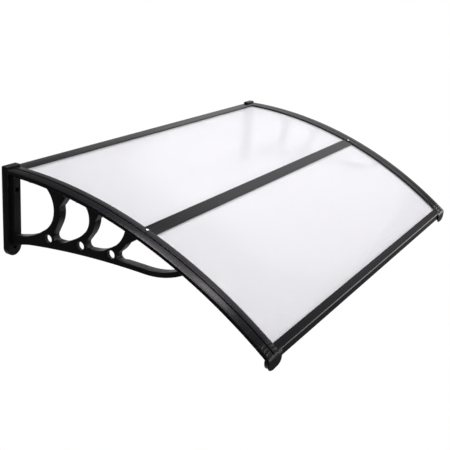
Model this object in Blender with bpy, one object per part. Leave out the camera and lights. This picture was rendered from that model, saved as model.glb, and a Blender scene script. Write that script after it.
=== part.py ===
"""Curved door canopy: two twin-wall sheets held in a frame of bars and rails on two wall brackets.

Units are metres. X runs along the wall, the wall is the plane Y = 0, the canopy reaches out to -Y,
and Z = 0 is the upper skin of the sheets where they leave the wall bar.
"""
import math

import bpy
import bmesh
from mathutils import Matrix, Vector

# Overall form
CANOPY_WIDTH = 1.226
CURVE_RADIUS = 1.223
FRONT_SLOPE = math.radians(35.33)
GAP = 0.0003

# Twin-wall sheet
SHEET_THICKNESS = 0.005
SKIN = 0.0006
FLUTE_WEB = 0.0007
FLUTE_PITCH = 0.0056

# Channel that every bar and rail has round the sheet's edge
TOP_RISE = 0.0046
TOP_WALL = 0.0022
WALL = 0.002
LIP = 0.002
CHANNEL_DEPTH = 0.020
SHEET_INSERTION = 0.0185

# Side rail
RAIL_WIDTH = 0.0467
SKIRT_DROP = 0.0036
RAIL_STEPS = 16
GROOVE_START = 0.0211
GROOVE_WIDTH = 0.0017
GROOVE_DEPTH = 0.0015
SHOULDER = 0.0016
EDGE_CHAMFER = 0.0006

# Wall bar
WALL_BAR_DEPTH = 0.0342
WALL_CHAMBER = 0.0216
WALL_LEG = 0.013

# Middle bar
MIDDLE_PLACE = 0.3888
MIDDLE_WIDTH = 0.0334
MIDDLE_WEB = 0.012
MIDDLE_CAP = 0.0023

# Front bar
RIDGE_REACH = 0.0196
FACE_HEIGHT = 0.0193
FRONT_SLOT = 0.015
RIDGE_CHAMFER = 0.0010

# Tongues that carry the bars in the rails
TONGUE_LENGTH = 0.018
TONGUE_ROOT = 0.020
TONGUE_WIDTH = 0.009

# Front caps
CAP_START = 0.013
CAP_PROUD = 0.0036
CAP_CHAMFER = 0.003
CAP_LOBE_RADIUS = 0.0204
CAP_LOBE_PLACE = 0.0238
CAP_LOBE_THICKNESS = 0.0186
CAP_LOBE_DROP = 0.0345
CAP_FLANGE = 0.0115
CAP_SPIGOT = 0.025
BAR_SPIGOT = 0.016
RIB_PLACES = (-0.008, 0.0005, 0.009)
RIB_WIDTH = 0.0022
RIB_HEIGHT = 0.0009
RIB_MARGIN = 0.0012

# Wall bracket
BRACKET_PLACE = 0.0193
PLATE_WIDTH = 0.048
PLATE_THICKNESS = 0.015
PLATE_RISE = 0.011
PLATE_CORNER = 0.004
PLATE_ROUNDING = 0.0025
LOBE_CENTRE = -0.202
FRAME_DEPTH = 0.023
FRAME_CHAMFER = 0.0008
POST_THICKNESS = 0.0115
BEAM_THICKNESS = 0.0065
SKIN_THICKNESS = 0.004
MOULDING_WALL = 0.003
CORNER_RADIUS = 0.003
SHORTEST = 0.0007

# Lower arm of the bracket: a long arc that turns up into the beam
ARM_LOW_Y = -0.430
ARM_LOW_Z = -0.1496
ARM_LONG_RADIUS = 2.222
ARM_END_RADIUS = 0.205
ARM_THICKNESS = 0.0125
ARM_ROOT = ((-0.0150, -0.1952), (-0.0380, -0.1890), (-0.0520, -0.1842), (-0.0660, -0.1804))
ARM_ROOT_END = -0.080
ARM_START = -0.095
TIP_THICKNESS = 0.002
CORING_END = -0.350

# Scroll struts: wall-side arc, front arc and the small pocket under the front arc
SCROLLS = (
    {"back": (-0.0906, -0.0688, 0.0675), "front": (-0.1064, -0.0703, 0.0708),
     "pocket": (-0.1665, -0.1330), "horn": ((-0.1752, -0.0560), (-0.1865, -0.0405)), "root": -0.1965},
    {"back": (-0.2178, -0.0650, 0.0497), "front": (-0.2095, -0.0555, 0.0770),
     "pocket": (-0.2667, -0.1255), "horn": ((-0.2852, -0.0625), (-0.2890, -0.0560)), "root": -0.2965},
    {"back": (-0.2984, -0.0470, 0.0747), "front": (-0.2998, -0.0531, 0.0862),
     "pocket": (-0.3598, -0.1290), "horn": ((-0.3754, -0.0948), (-0.3908, -0.0842)), "root": -0.4050},
)
POCKET_RADIUS = 0.0105
POCKET_END = -94.0
WINDOW_HEEL = -0.1675
SWEEPS = (
    ((-0.0420, -0.1642), (-0.0720, -0.1557), (-0.1020, -0.1425)),
    ((-0.1870, -0.1420), (-0.2060, -0.1330), (-0.2400, -0.1120)),
    ((-0.2900, -0.1330), (-0.3110, -0.1265)),
)
SWEEP_JOINS = (-0.1245, -0.2570, -0.3300)
BORES = ((-0.1413, -0.1440), (-0.2430, -0.1340), (-0.3343, -0.1298))
BORE_RADIUS = 0.0105
BORE_RIM = 0.0025
BORE_RAISE = 0.0008
BORE_LENGTH = 0.0086
BORE_SIDES = 20
RIB_STATIONS = (-0.060, -0.095, -0.180, -0.280)
STIFFENER = 0.002

# Wall screw holes
WALL_HOLE_RADIUS = 0.0035
COUNTERBORE_RADIUS = 0.0062
COUNTERBORE_DEPTH = 0.005
UPPER_HOLE = -0.0485

# Screws: head radius, head height, shank radius
BIG_SCREW = (0.0040, 0.0022, 0.0015)
SMALL_SCREW = (0.0034, 0.0022, 0.0015)
HORN_SCREW = (0.0023, 0.0014, 0.0012)
MIDDLE_SCREW_SHIFT = -0.0035
INNER_SCREW = 0.0049
RAIL_SCREW = 0.0262
RAIL_SCREW_PLACES = (-0.080, -0.228, -0.460)
HORN_SCREW_PLACE = -0.192
SCREW_SIDES = 12

# Places worked out from the sizes above
HALF_CLEAR = CANOPY_WIDTH / 2 - RAIL_WIDTH
FRONT_LENGTH = CURVE_RADIUS * FRONT_SLOPE
UNDER_TOP = TOP_RISE - TOP_WALL
SEAT = -(SHEET_THICKNESS + GAP)
FLOOR = SEAT - WALL
BEAM_TOP = FLOOR - GAP
BEAM_BOTTOM = BEAM_TOP - BEAM_THICKNESS
POST_FRONT = -(PLATE_THICKNESS + POST_THICKNESS)
BAR_END = HALF_CLEAR - GAP
CURVE_CENTRE = (-WALL_BAR_DEPTH, -CURVE_RADIUS)
SIDES = ((-1, "left"), (1, "right"))

for old in list(bpy.data.objects):
    bpy.data.objects.remove(old, do_unlink=True)

parts = bpy.data.collections.new("door_canopy")
cutters = bpy.data.collections.new("cutters")
bpy.context.scene.collection.children.link(parts)
bpy.context.scene.collection.children.link(cutters)


def material(name, colour, roughness, metallic):
    """A plain Principled finish."""
    finish = bpy.data.materials.new(name)
    finish.use_nodes = True
    shader = finish.node_tree.nodes["Principled BSDF"]
    shader.inputs["Base Color"].default_value = (*colour, 1.0)
    shader.inputs["Roughness"].default_value = roughness
    shader.inputs["Metallic"].default_value = metallic
    return finish


moulded = material("moulded_black", (0.012, 0.012, 0.013), 0.38, 0.0)
coated = material("coated_aluminium", (0.060, 0.056, 0.064), 0.42, 0.5)
milky = material("milky_polycarbonate", (0.86, 0.85, 0.88), 0.25, 0.0)
bright = material("bright_steel", (0.80, 0.80, 0.82), 0.25, 1.0)


def on_curve(angle, height):
    """A point at an angle from the curve's top, that far above the sheet's upper skin."""
    reach = CURVE_RADIUS + height
    y = CURVE_CENTRE[0] - reach * math.sin(angle)
    z = CURVE_CENTRE[1] + reach * math.cos(angle)
    return (y, z)


def angle_at(y, height):
    """The angle at which the curve at that height passes through y."""
    return math.asin((CURVE_CENTRE[0] - y) / (CURVE_RADIUS + height))


def beyond_front(distance, height):
    """A point past the sheet's visible front edge, along the slope there."""
    y, z = on_curve(FRONT_SLOPE, height)
    return (y - distance * math.cos(FRONT_SLOPE), z - distance * math.sin(FRONT_SLOPE))


def circle_arc(centre, radius, start, end, steps):
    """Points on an arc, angles in degrees from +Y towards +Z."""
    points = []
    for i in range(steps + 1):
        angle = math.radians(start + (end - start) * i / steps)
        points.append((centre[0] + radius * math.cos(angle), centre[1] + radius * math.sin(angle)))
    return points


def bearing(centre, point):
    """The direction of a point seen from a centre, in degrees from +Y towards +Z."""
    return math.degrees(math.atan2(point[1] - centre[1], point[0] - centre[0])) % 360.0


def smooth_path(points, steps):
    """A Catmull-Rom curve through the points."""
    padded = [points[0]] + list(points) + [points[-1]]
    path = []
    for a, b, c, d in zip(padded, padded[1:], padded[2:], padded[3:]):
        for i in range(steps):
            t = i / steps
            path.append(tuple(
                0.5 * (2 * b[k] + (c[k] - a[k]) * t + (2 * a[k] - 5 * b[k] + 4 * c[k] - d[k]) * t ** 2
                       + (3 * b[k] - a[k] - 3 * c[k] + d[k]) * t ** 3)
                for k in (0, 1)))
    path.append(tuple(points[-1]))
    return path


def round_corners(points, radius, sharpest=28.0, steps=2):
    """The closed outline with each sharp corner turned into a small arc."""
    points = [here for before, here in zip([points[-1]] + points, points) if math.dist(before, here) > SHORTEST]
    rounded = []
    count = len(points)
    for i, here in enumerate(points):
        corner = Vector(here)
        before = Vector(points[i - 1]) - corner
        after = Vector(points[(i + 1) % count]) - corner
        turn = math.pi - before.angle(after)
        if turn < math.radians(sharpest):
            rounded.append(tuple(here))
            continue
        reach = min(radius * math.tan(turn / 2), 0.45 * before.length, 0.45 * after.length)
        start = corner + before.normalized() * reach
        end = corner + after.normalized() * reach
        for k in range(steps + 1):
            t = k / steps
            rounded.append(tuple((1 - t) ** 2 * start + 2 * t * (1 - t) * corner + t ** 2 * end))
    return rounded


def signed_area(points):
    """Positive when the outline runs anticlockwise."""
    return 0.5 * sum(a[0] * b[1] - b[0] * a[1] for a, b in zip(points, points[1:] + points[:1]))


def offset(points, distance):
    """The closed outline moved outward by a distance, inward when it is negative."""
    turn = 1.0 if signed_area(points) > 0 else -1.0
    moved = []
    count = len(points)
    for i, here in enumerate(points):
        before = (Vector(here) - Vector(points[i - 1])).normalized()
        after = (Vector(points[(i + 1) % count]) - Vector(here)).normalized()
        normal = Vector((before.y + after.y, -(before.x + after.x))) * turn
        normal.normalize()
        side = Vector((before.y, -before.x)) * turn
        mitre = distance / max(normal.dot(side), 0.5)
        moved.append(tuple(Vector(here) + normal * mitre))
    return moved


def finish_mesh(mesh):
    """Weld the loose seams and turn every face outward."""
    work = bmesh.new()
    work.from_mesh(mesh)
    bmesh.ops.remove_doubles(work, verts=work.verts, dist=0.000002)
    bmesh.ops.recalc_face_normals(work, faces=work.faces)
    work.to_mesh(mesh)
    work.free()


def add_object(name, mesh, finish=None):
    """Put a mesh in the scene: with a finish it is a part with its origin in its middle, else a cutter."""
    thing = bpy.data.objects.new(name, mesh)
    if finish is None:
        cutters.objects.link(thing)
        thing.hide_render = True
        thing.display_type = "WIRE"
        return thing
    parts.objects.link(thing)
    mesh.materials.append(finish)
    corners = [Vector(corner) for corner in thing.bound_box]
    middle = (corners[0] + corners[6]) / 2
    mesh.transform(Matrix.Translation(-middle))
    thing.location = middle
    return thing


ALONG_X = Matrix(((0, 0, 1, 0), (1, 0, 0, 0), (0, 1, 0, 0), (0, 0, 0, 1)))
ALONG_Y = Matrix(((1, 0, 0, 0), (0, 0, -1, 0), (0, 1, 0, 0), (0, 0, 0, 1)))


def extrusion(name, loops, along, low, high, finish=None, chamfer=0.0, rounds=0):
    """A flat outline, with its holes, extruded between two places on an axis."""
    data = bpy.data.curves.new(name, "CURVE")
    data.dimensions = "2D"
    data.fill_mode = "BOTH"
    data.extrude = abs(high - low) / 2 - chamfer
    data.bevel_depth = chamfer
    data.bevel_resolution = rounds
    data.offset = -chamfer
    for i, loop in enumerate(loops):
        if (signed_area(loop) > 0) == (i > 0):
            loop = loop[::-1]
        spline = data.splines.new("POLY")
        spline.points.add(len(loop) - 1)
        for point, (a, b) in zip(spline.points, loop):
            point.co = (a, b, 0.0, 1.0)
        spline.use_cyclic_u = True
    drawn = bpy.data.objects.new(name, data)
    bpy.context.scene.collection.objects.link(drawn)
    evaluated = drawn.evaluated_get(bpy.context.evaluated_depsgraph_get())
    mesh = bpy.data.meshes.new_from_object(evaluated)
    bpy.data.objects.remove(drawn, do_unlink=True)
    centre = (low + high) / 2
    if along == "X":
        mesh.transform(Matrix.Translation((centre, 0, 0)) @ ALONG_X)
    else:
        mesh.transform(Matrix.Translation((0, centre, 0)) @ ALONG_Y)
    mesh.materials.clear()
    finish_mesh(mesh)
    return add_object(name, mesh, finish)


def turned_along_curve(name, loops, start, end, steps, finish=None):
    """A section of points (x, height) swept round the canopy's curve between two angles."""
    work = bmesh.new()
    edges = []
    for loop in loops:
        ring = [work.verts.new((x, *on_curve(start, height))) for x, height in loop]
        edges += [work.edges.new((a, b)) for a, b in zip(ring, ring[1:] + ring[:1])]
    bmesh.ops.triangle_fill(work, use_beauty=True, edges=edges, normal=(0, 1, 0))
    bmesh.ops.spin(work, geom=work.verts[:] + work.edges[:] + work.faces[:],
                   cent=(0, *CURVE_CENTRE), axis=(1, 0, 0), angle=end - start, steps=steps)
    mesh = bpy.data.meshes.new(name)
    work.to_mesh(mesh)
    work.free()
    finish_mesh(mesh)
    return add_object(name, mesh, finish)


def cylinder(name, start, end, radius, end_radius=None, sides=16):
    """A round cutter between two points."""
    axis = Vector(end) - Vector(start)
    work = bmesh.new()
    bmesh.ops.create_cone(work, cap_ends=True, segments=sides, radius1=radius,
                          radius2=radius if end_radius is None else end_radius, depth=axis.length)
    place = Matrix.Translation((Vector(start) + Vector(end)) / 2)
    work.transform(place @ axis.to_track_quat("Z", "Y").to_matrix().to_4x4())
    mesh = bpy.data.meshes.new(name)
    work.to_mesh(mesh)
    work.free()
    return add_object(name, mesh)


def box(name, low, high):
    """A square cutter between two corners."""
    work = bmesh.new()
    size = Vector(high) - Vector(low)
    centre = (Vector(high) + Vector(low)) / 2
    bmesh.ops.create_cube(work, size=1.0, matrix=Matrix.Translation(centre) @ Matrix.Diagonal((*size, 1.0)))
    mesh = bpy.data.meshes.new(name)
    work.to_mesh(mesh)
    work.free()
    return add_object(name, mesh)


def combine(target, other, operation):
    """A Boolean that stays live on the target."""
    step = target.modifiers.new(other.name, "BOOLEAN")
    step.operation = operation
    step.solver = "EXACT"
    step.object = other


def cut(target, other):
    combine(target, other, "DIFFERENCE")


def join(target, other):
    combine(target, other, "UNION")


def span(side, inner, outer):
    """The X range between two distances outboard of the sheet's visible edge."""
    ends = (side * (HALF_CLEAR + inner), side * (HALF_CLEAR + outer))
    return min(ends), max(ends)


def across(side, loop):
    """A section drawn outward from the sheet's visible edge, placed on one side of the canopy."""
    return [(side * (HALF_CLEAR + u), height) for u, height in loop]


def rail_outline():
    """The rail's section: a channel round the sheet, a groove, a shoulder and a skirt."""
    return [
        (0, TOP_RISE), (GROOVE_START, TOP_RISE), (GROOVE_START, TOP_RISE - GROOVE_DEPTH),
        (GROOVE_START + GROOVE_WIDTH, TOP_RISE - GROOVE_DEPTH), (GROOVE_START + GROOVE_WIDTH, TOP_RISE),
        *circle_arc((RAIL_WIDTH - SHOULDER, TOP_RISE - SHOULDER), SHOULDER, 90, 0, 2),
        (RAIL_WIDTH, EDGE_CHAMFER - SKIRT_DROP), (RAIL_WIDTH - EDGE_CHAMFER, -SKIRT_DROP),
        (CHANNEL_DEPTH + WALL, -SKIRT_DROP), (CHANNEL_DEPTH + WALL, FLOOR), (0, FLOOR),
    ]


def channel():
    """The slot in the rail's inner side, with a lip over the sheet."""
    return [(0, SEAT), (CHANNEL_DEPTH, SEAT), (CHANNEL_DEPTH, UNDER_TOP), (LIP, UNDER_TOP), (LIP, GAP), (0, GAP)]


def outer_chamber(inset=0.0):
    """The rail's closed chamber outboard of the channel."""
    inner = CHANNEL_DEPTH + WALL + inset
    outer = RAIL_WIDTH - WALL - inset
    return [(inner, UNDER_TOP - inset), (outer, UNDER_TOP - inset),
            (outer, WALL - SKIRT_DROP + inset), (inner, WALL - SKIRT_DROP + inset)]


def build_rail(side, label):
    """One side rail, from the wall plate to the front cap."""
    start = angle_at(-(PLATE_THICKNESS + GAP), TOP_RISE)
    end = FRONT_SLOPE - CAP_START / CURVE_RADIUS
    loops = [rail_outline() + channel(), outer_chamber()]
    return turned_along_curve(f"side_rail_{label}", [across(side, loop) for loop in loops],
                              start, end, RAIL_STEPS, coated)


def sheet_loops(start, end):
    """The section of a twin-wall sheet: both skins, and a row of open flutes between the webs."""
    count = int((end - start) * CURVE_RADIUS / FLUTE_PITCH)
    pitch = (end - start) / count
    web = FLUTE_WEB / 2 / CURVE_RADIUS
    upper = [on_curve(start + pitch * i, 0.0) for i in range(count + 1)]
    lower = [on_curve(start + pitch * i, -SHEET_THICKNESS) for i in range(count, -1, -1)]
    loops = [upper + lower]
    for i in range(count):
        first = start + pitch * i + web
        last = start + pitch * (i + 1) - web
        loops.append([on_curve(first, -SKIN), on_curve(last, -SKIN),
                      on_curve(last, SKIN - SHEET_THICKNESS), on_curve(first, SKIN - SHEET_THICKNESS)])
    return loops


def build_sheets():
    """The rear and the front sheet, each running under the rails at both sides."""
    middle = MIDDLE_PLACE / CURVE_RADIUS
    web = (MIDDLE_WEB / 2 + 0.5 * FLUTE_WEB) / CURVE_RADIUS
    rear = angle_at(-(WALL_CHAMBER + 2 * WALL + 2 * FLUTE_WEB), 0.0)
    front = (FRONT_LENGTH + FRONT_SLOT - 0.5 * FLUTE_WEB) / CURVE_RADIUS
    reach = HALF_CLEAR + SHEET_INSERTION
    extrusion("sheet_rear", sheet_loops(rear, middle - web), "X", -reach, reach, milky)
    extrusion("sheet_front", sheet_loops(middle + web, front), "X", -reach, reach, milky)


def build_wall_bar():
    """The extruded bar along the wall, coped round the wall plates, with a tongue at each end."""
    back = -(WALL_CHAMBER + 2 * WALL)
    front = -WALL_BAR_DEPTH
    section = [
        (front, GAP), (front, TOP_RISE), (0, TOP_RISE), (0, -WALL_LEG), (-WALL, -WALL_LEG), (-WALL, FLOOR),
        (front, FLOOR), (front, SEAT), (back, SEAT), (back, UNDER_TOP), (front + LIP, UNDER_TOP),
        (front + LIP, GAP),
    ]
    chamber = [(back + WALL, UNDER_TOP), (-WALL, UNDER_TOP), (-WALL, SEAT), (back + WALL, SEAT)]
    bar = extrusion("back_bar", [section, chamber], "X", -BAR_END, BAR_END, coated)
    plate_inner = PLATE_WIDTH / 2 - BRACKET_PLACE
    for side, label in SIDES:
        low, high = span(side, -TONGUE_ROOT, TONGUE_LENGTH)
        join(bar, box(f"back_tongue_{label}", (low, back + GAP, -SHEET_THICKNESS),
                      (high, back + GAP + TONGUE_WIDTH, -2 * GAP)))
        low, high = span(side, -(plate_inner + GAP), GAP)
        cut(bar, box(f"back_coping_{label}", (low, -(PLATE_THICKNESS + GAP), -2 * WALL_LEG),
                     (high, 2 * WALL, 2 * TOP_RISE)))
    return bar


def build_middle_bar():
    """The joint between the sheets: a cap above and below, and a web whose ends enter the rails."""
    middle = MIDDLE_PLACE / CURVE_RADIUS

    def at(distance, height):
        return on_curve(middle + distance / CURVE_RADIUS, height)

    half = MIDDLE_WIDTH / 2
    web = MIDDLE_WEB / 2
    low = FLOOR
    rise = GAP + MIDDLE_CAP
    section = [at(-half, GAP), at(-half, rise), at(0, rise), at(half, rise), at(half, GAP), at(web, GAP),
               at(web, SEAT), at(half, SEAT), at(half, low), at(-half, low), at(-half, SEAT),
               at(-web, SEAT), at(-web, GAP)]
    bar = extrusion("middle_bar", [section], "X", -BAR_END, BAR_END, coated)
    inset = web - GAP
    tongue = [at(-inset, 0), at(inset, 0), at(inset, -SHEET_THICKNESS), at(-inset, -SHEET_THICKNESS)]
    for side, label in SIDES:
        low, high = span(side, -TONGUE_ROOT, TONGUE_LENGTH)
        join(bar, extrusion(f"middle_tongue_{label}", [tongue], "X", low, high))
    return bar


def front_chamber():
    """The front bar's closed chamber, behind its face."""
    ridge_y = beyond_front(RIDGE_REACH, TOP_RISE)[0]
    ridge_z = beyond_front(RIDGE_REACH, TOP_RISE)[1]
    face = ridge_y + WALL
    floor = ridge_z - FACE_HEIGHT + WALL
    back = beyond_front(FRONT_SLOT, FLOOR)[0] - WALL
    slot_wall = FRONT_SLOT + WALL
    top = beyond_front(slot_wall, UNDER_TOP)
    slope = math.tan(FRONT_SLOPE)
    upper = (face, top[1] - (top[0] - face) * slope)
    lower = (back, top[1] - (back - top[0]) / slope)
    return [top, upper, (face, floor), (back, floor), lower]


def build_front_bar():
    """The front bar: a sloping top, a ridge, an upright face and the channel behind them."""
    ridge = beyond_front(RIDGE_REACH, TOP_RISE)
    bottom = ridge[1] - FACE_HEIGHT
    heel = beyond_front(FRONT_SLOT, FLOOR)
    section = [
        beyond_front(0, GAP), beyond_front(0, TOP_RISE), beyond_front(RIDGE_REACH - RIDGE_CHAMFER, TOP_RISE),
        (ridge[0], ridge[1] - RIDGE_CHAMFER), (ridge[0], bottom), (heel[0], bottom), heel,
        beyond_front(0, FLOOR), beyond_front(0, SEAT), beyond_front(FRONT_SLOT, SEAT),
        beyond_front(FRONT_SLOT, UNDER_TOP), beyond_front(LIP, UNDER_TOP), beyond_front(LIP, GAP),
    ]
    return extrusion("front_bar", [section, front_chamber()], "X", -BAR_END, BAR_END, coated)


def build_cap(side, label):
    """The moulded corner cap: the rail's outline, a rounded lobe in front and spigots into rail and bar."""
    start = FRONT_SLOPE - (CAP_START - GAP) / CURVE_RADIUS
    end = FRONT_SLOPE + 2 * RIDGE_REACH / CURVE_RADIUS
    cap = turned_along_curve(f"front_cap_{label}", [across(side, rail_outline())], start, end, 3, moulded)
    ridge = beyond_front(RIDGE_REACH, TOP_RISE)
    face = ridge[0] - CAP_PROUD
    lobe_low = ridge[1] - CAP_LOBE_DROP
    lobe_centre = (side * (HALF_CLEAR + CAP_LOBE_PLACE), lobe_low + CAP_LOBE_RADIUS)
    left, right = span(side, 0, RAIL_WIDTH)
    below = lobe_low - WALL
    corners = [(right + WALL, lobe_centre[1]), (right + WALL, below), (left - WALL, below),
               (left - WALL, lobe_centre[1])]
    corners += circle_arc(lobe_centre, CAP_LOBE_RADIUS - GAP / 2, 180, 360, 14)
    back = face + CAP_LOBE_THICKNESS
    cut(cap, extrusion(f"cap_corners_{label}", [corners], "Y", back + GAP, face - 3 * WALL))
    top = lobe_centre[1] + CAP_LOBE_RADIUS / 4
    outline = circle_arc(lobe_centre, CAP_LOBE_RADIUS, 180, 360, 14)
    outline += [(lobe_centre[0] + CAP_LOBE_RADIUS, top), (lobe_centre[0] - CAP_LOBE_RADIUS, top)]
    join(cap, extrusion(f"cap_lobe_{label}", [outline], "Y", back, face - 2 * WALL))
    reach = (RAIL_WIDTH + CAP_FLANGE) / 2 / CAP_LOBE_RADIUS
    flange_x = side * (HALF_CLEAR + (RAIL_WIDTH - CAP_FLANGE) / 2)
    flange = [(flange_x + reach * a, lobe_centre[1] - GAP + b)
              for a, b in circle_arc((0, 0), CAP_LOBE_RADIUS, 180, 360, 14)]
    flange += [(flange[-1][0], ridge[1]), (flange[0][0], ridge[1])]
    join(cap, extrusion(f"cap_flange_{label}", [flange], "Y", ridge[0] - GAP, face - 1.5 * WALL))
    low, high = span(side, -BAR_SPIGOT, 3 * WALL)
    join(cap, extrusion(f"cap_bar_spigot_{label}", [offset(front_chamber(), -1.5 * GAP)], "X", low, high))
    join(cap, turned_along_curve(f"cap_rail_spigot_{label}", [across(side, outer_chamber(1.5 * GAP))],
                                 start - CAP_SPIGOT / CURVE_RADIUS, start + WALL / CURVE_RADIUS, 1))
    for i, place in enumerate(RIB_PLACES):
        angle = FRONT_SLOPE + place / CURVE_RADIUS
        half = RIB_WIDTH / 2 / CURVE_RADIUS
        outboard = RAIL_WIDTH - SHOULDER
        for k, (inner, outer) in enumerate(((RIB_MARGIN, GROOVE_START - RIB_MARGIN),
                                            (GROOVE_START + GROOVE_WIDTH + RIB_MARGIN, outboard))):
            loop = [(inner, TOP_RISE - WALL), (inner, TOP_RISE + RIB_HEIGHT), (outer, TOP_RISE + RIB_HEIGHT),
                    (outer, TOP_RISE - WALL)]
            join(cap, turned_along_curve(f"cap_rib_{label}_{i}_{k}", [across(side, loop)],
                                         angle - half, angle + half, 1))
    slot_start = -(CAP_START + WALL)
    slot_end = FRONT_SLOT + GAP
    slot = [beyond_front(d, h) for d, h in ((slot_start, GAP + 0.0001), (slot_end, GAP), (slot_end, SEAT),
                                            (slot_start, SEAT - 0.0001))]
    low, high = span(side, -WALL, CHANNEL_DEPTH)
    cut(cap, extrusion(f"cap_slot_{label}", [slot], "X", low, high))
    corner = beyond_front(RIDGE_REACH, TOP_RISE)
    shoulder = (face, corner[1] - CAP_CHAMFER)
    rise = 4 * CAP_CHAMFER
    high_z = shoulder[1] + rise
    far = face - 4 * RAIL_WIDTH
    trim = [(face, lobe_low - WALL), shoulder, (face + rise, high_z), (far, high_z), (far, lobe_low - WALL)]
    low, high = span(side, -(CAP_FLANGE + WALL), RAIL_WIDTH + WALL)
    cut(cap, extrusion(f"cap_face_{label}", [trim], "X", low, high))
    return cap


def height_of(point):
    """How far a point is above the sheet's upper skin, measured square to the curve."""
    return math.dist(point, CURVE_CENTRE) - CURVE_RADIUS


def along_beam(first, last, height, steps):
    """Points along the curve at one height between two places in y."""
    start = angle_at(first, height)
    end = angle_at(last, height)
    return [on_curve(start + (end - start) * i / steps, height) for i in range(steps + 1)]


def beam_bearing(centre, radius):
    """The bearing at which a scroll's arc comes up to the underside of the beam."""
    low, high = 90.0, 225.0
    for _ in range(40):
        middle = (low + high) / 2
        if height_of(circle_arc(centre, radius, middle, middle, 1)[0]) > BEAM_BOTTOM:
            low = middle
        else:
            high = middle
    return high


def cross_tangent(centre, radius, other, other_radius):
    """The bearings at which a smooth S runs from the first circle over to the second."""
    reach = math.dist(centre, other)
    lean = math.degrees(math.acos(min(1.0, (radius + other_radius) / reach)))
    leave = bearing(centre, other) - lean
    return leave, leave - 180.0


def arm_bottom(y):
    """The height of the arm's lower edge at a place in y."""
    away = y - ARM_LOW_Y
    if away > 0:
        return ARM_LOW_Z - ARM_LONG_RADIUS + math.sqrt(ARM_LONG_RADIUS ** 2 - away ** 2)
    return ARM_LOW_Z + ARM_END_RADIUS - math.sqrt(ARM_END_RADIUS ** 2 - away ** 2)


def arm_line(start, limit, rise, steps):
    """The arm's edge, raised by a thickness, from a place in y until it comes near the beam."""
    end = start
    while True:
        away = min(0.0, end - ARM_LOW_Y)
        lift = rise / math.sqrt(1 - (away / ARM_END_RADIUS) ** 2)
        if height_of((end, arm_bottom(end) + lift)) > limit:
            break
        end -= 0.0005
    points = []
    for i in range(steps + 1):
        y = start + (end - start) * i / steps
        away = min(0.0, y - ARM_LOW_Y)
        points.append((y, arm_bottom(y) + rise / math.sqrt(1 - (away / ARM_END_RADIUS) ** 2)))
    return points


def frame_outline():
    """The side frame without its windows: beam above, arm below, both meeting at the front."""
    heel = -PLATE_THICKNESS / 2
    root = [(heel, ARM_ROOT[0][1])]
    root += smooth_path((*ARM_ROOT, (ARM_ROOT_END, arm_bottom(ARM_ROOT_END))), 2)
    lower = arm_line(ARM_START, BEAM_TOP - TIP_THICKNESS, 0.0, 18)
    return root + lower + along_beam(lower[-1][0] - TIP_THICKNESS, heel, BEAM_TOP, 14)


def front_side(scroll):
    """A scroll's front contour, from the beam down the horn and the arc and round the pocket."""
    centre, radius = scroll["front"][:2], scroll["front"][2]
    near, far = scroll["horn"]
    root = (scroll["root"], on_curve(angle_at(scroll["root"], BEAM_BOTTOM), BEAM_BOTTOM)[1])
    leave, enter = cross_tangent(centre, radius, scroll["pocket"], POCKET_RADIUS)
    arc = circle_arc(centre, radius, bearing(centre, near), leave, 6)
    pocket = circle_arc(scroll["pocket"], POCKET_RADIUS, enter, POCKET_END, 7)
    return smooth_path((root, far, near), 2)[:-1] + arc + pocket


def window_outlines():
    """The four openings of the side frame, listed from the wall outward."""
    outlines = []
    start = [(POST_FRONT, WINDOW_HEEL)]
    first_y = POST_FRONT
    for scroll, sweep, join_y in zip(SCROLLS, SWEEPS, SWEEP_JOINS):
        centre, radius = scroll["back"][:2], scroll["back"][2]
        drop = math.sqrt(radius ** 2 - (join_y - centre[0]) ** 2)
        join_point = (join_y, centre[1] - drop)
        arc = circle_arc(centre, radius, bearing(centre, join_point), beam_bearing(centre, radius), 9)
        path = smooth_path((start[-1], *sweep, join_point), 2)[1:-1]
        roof = along_beam(arc[-1][0], first_y, BEAM_BOTTOM, 3)
        outlines.append(start + path + arc + roof[1:-1] + ([roof[-1]] if first_y == POST_FRONT else []))
        start = front_side(scroll)
        first_y = scroll["root"]
    arm = arm_line(start[-1][0] - POCKET_RADIUS, BEAM_BOTTOM, ARM_THICKNESS, 10)
    roof = along_beam(arm[-1][0], first_y, BEAM_BOTTOM, 4)
    outlines.append(start + arm + roof[1:-1])
    return [round_corners(outline, CORNER_RADIUS) for outline in outlines]


def coring_outline():
    """The hollow behind the frame's outer skin, before windows, bosses and ribs are left standing."""
    back = POST_FRONT - MOULDING_WALL
    start = ARM_ROOT_END
    floor = []
    for i in range(9):
        y = start + (CORING_END - start) * i / 8
        floor.append((y, arm_bottom(y) + MOULDING_WALL))
    root = [(back, ARM_ROOT[1][1] + 2 * MOULDING_WALL), (ARM_ROOT[3][0], ARM_ROOT[3][1] + MOULDING_WALL)]
    return root + floor + along_beam(SCROLLS[2]["root"] - MOULDING_WALL, back, BEAM_BOTTOM, 10)


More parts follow.
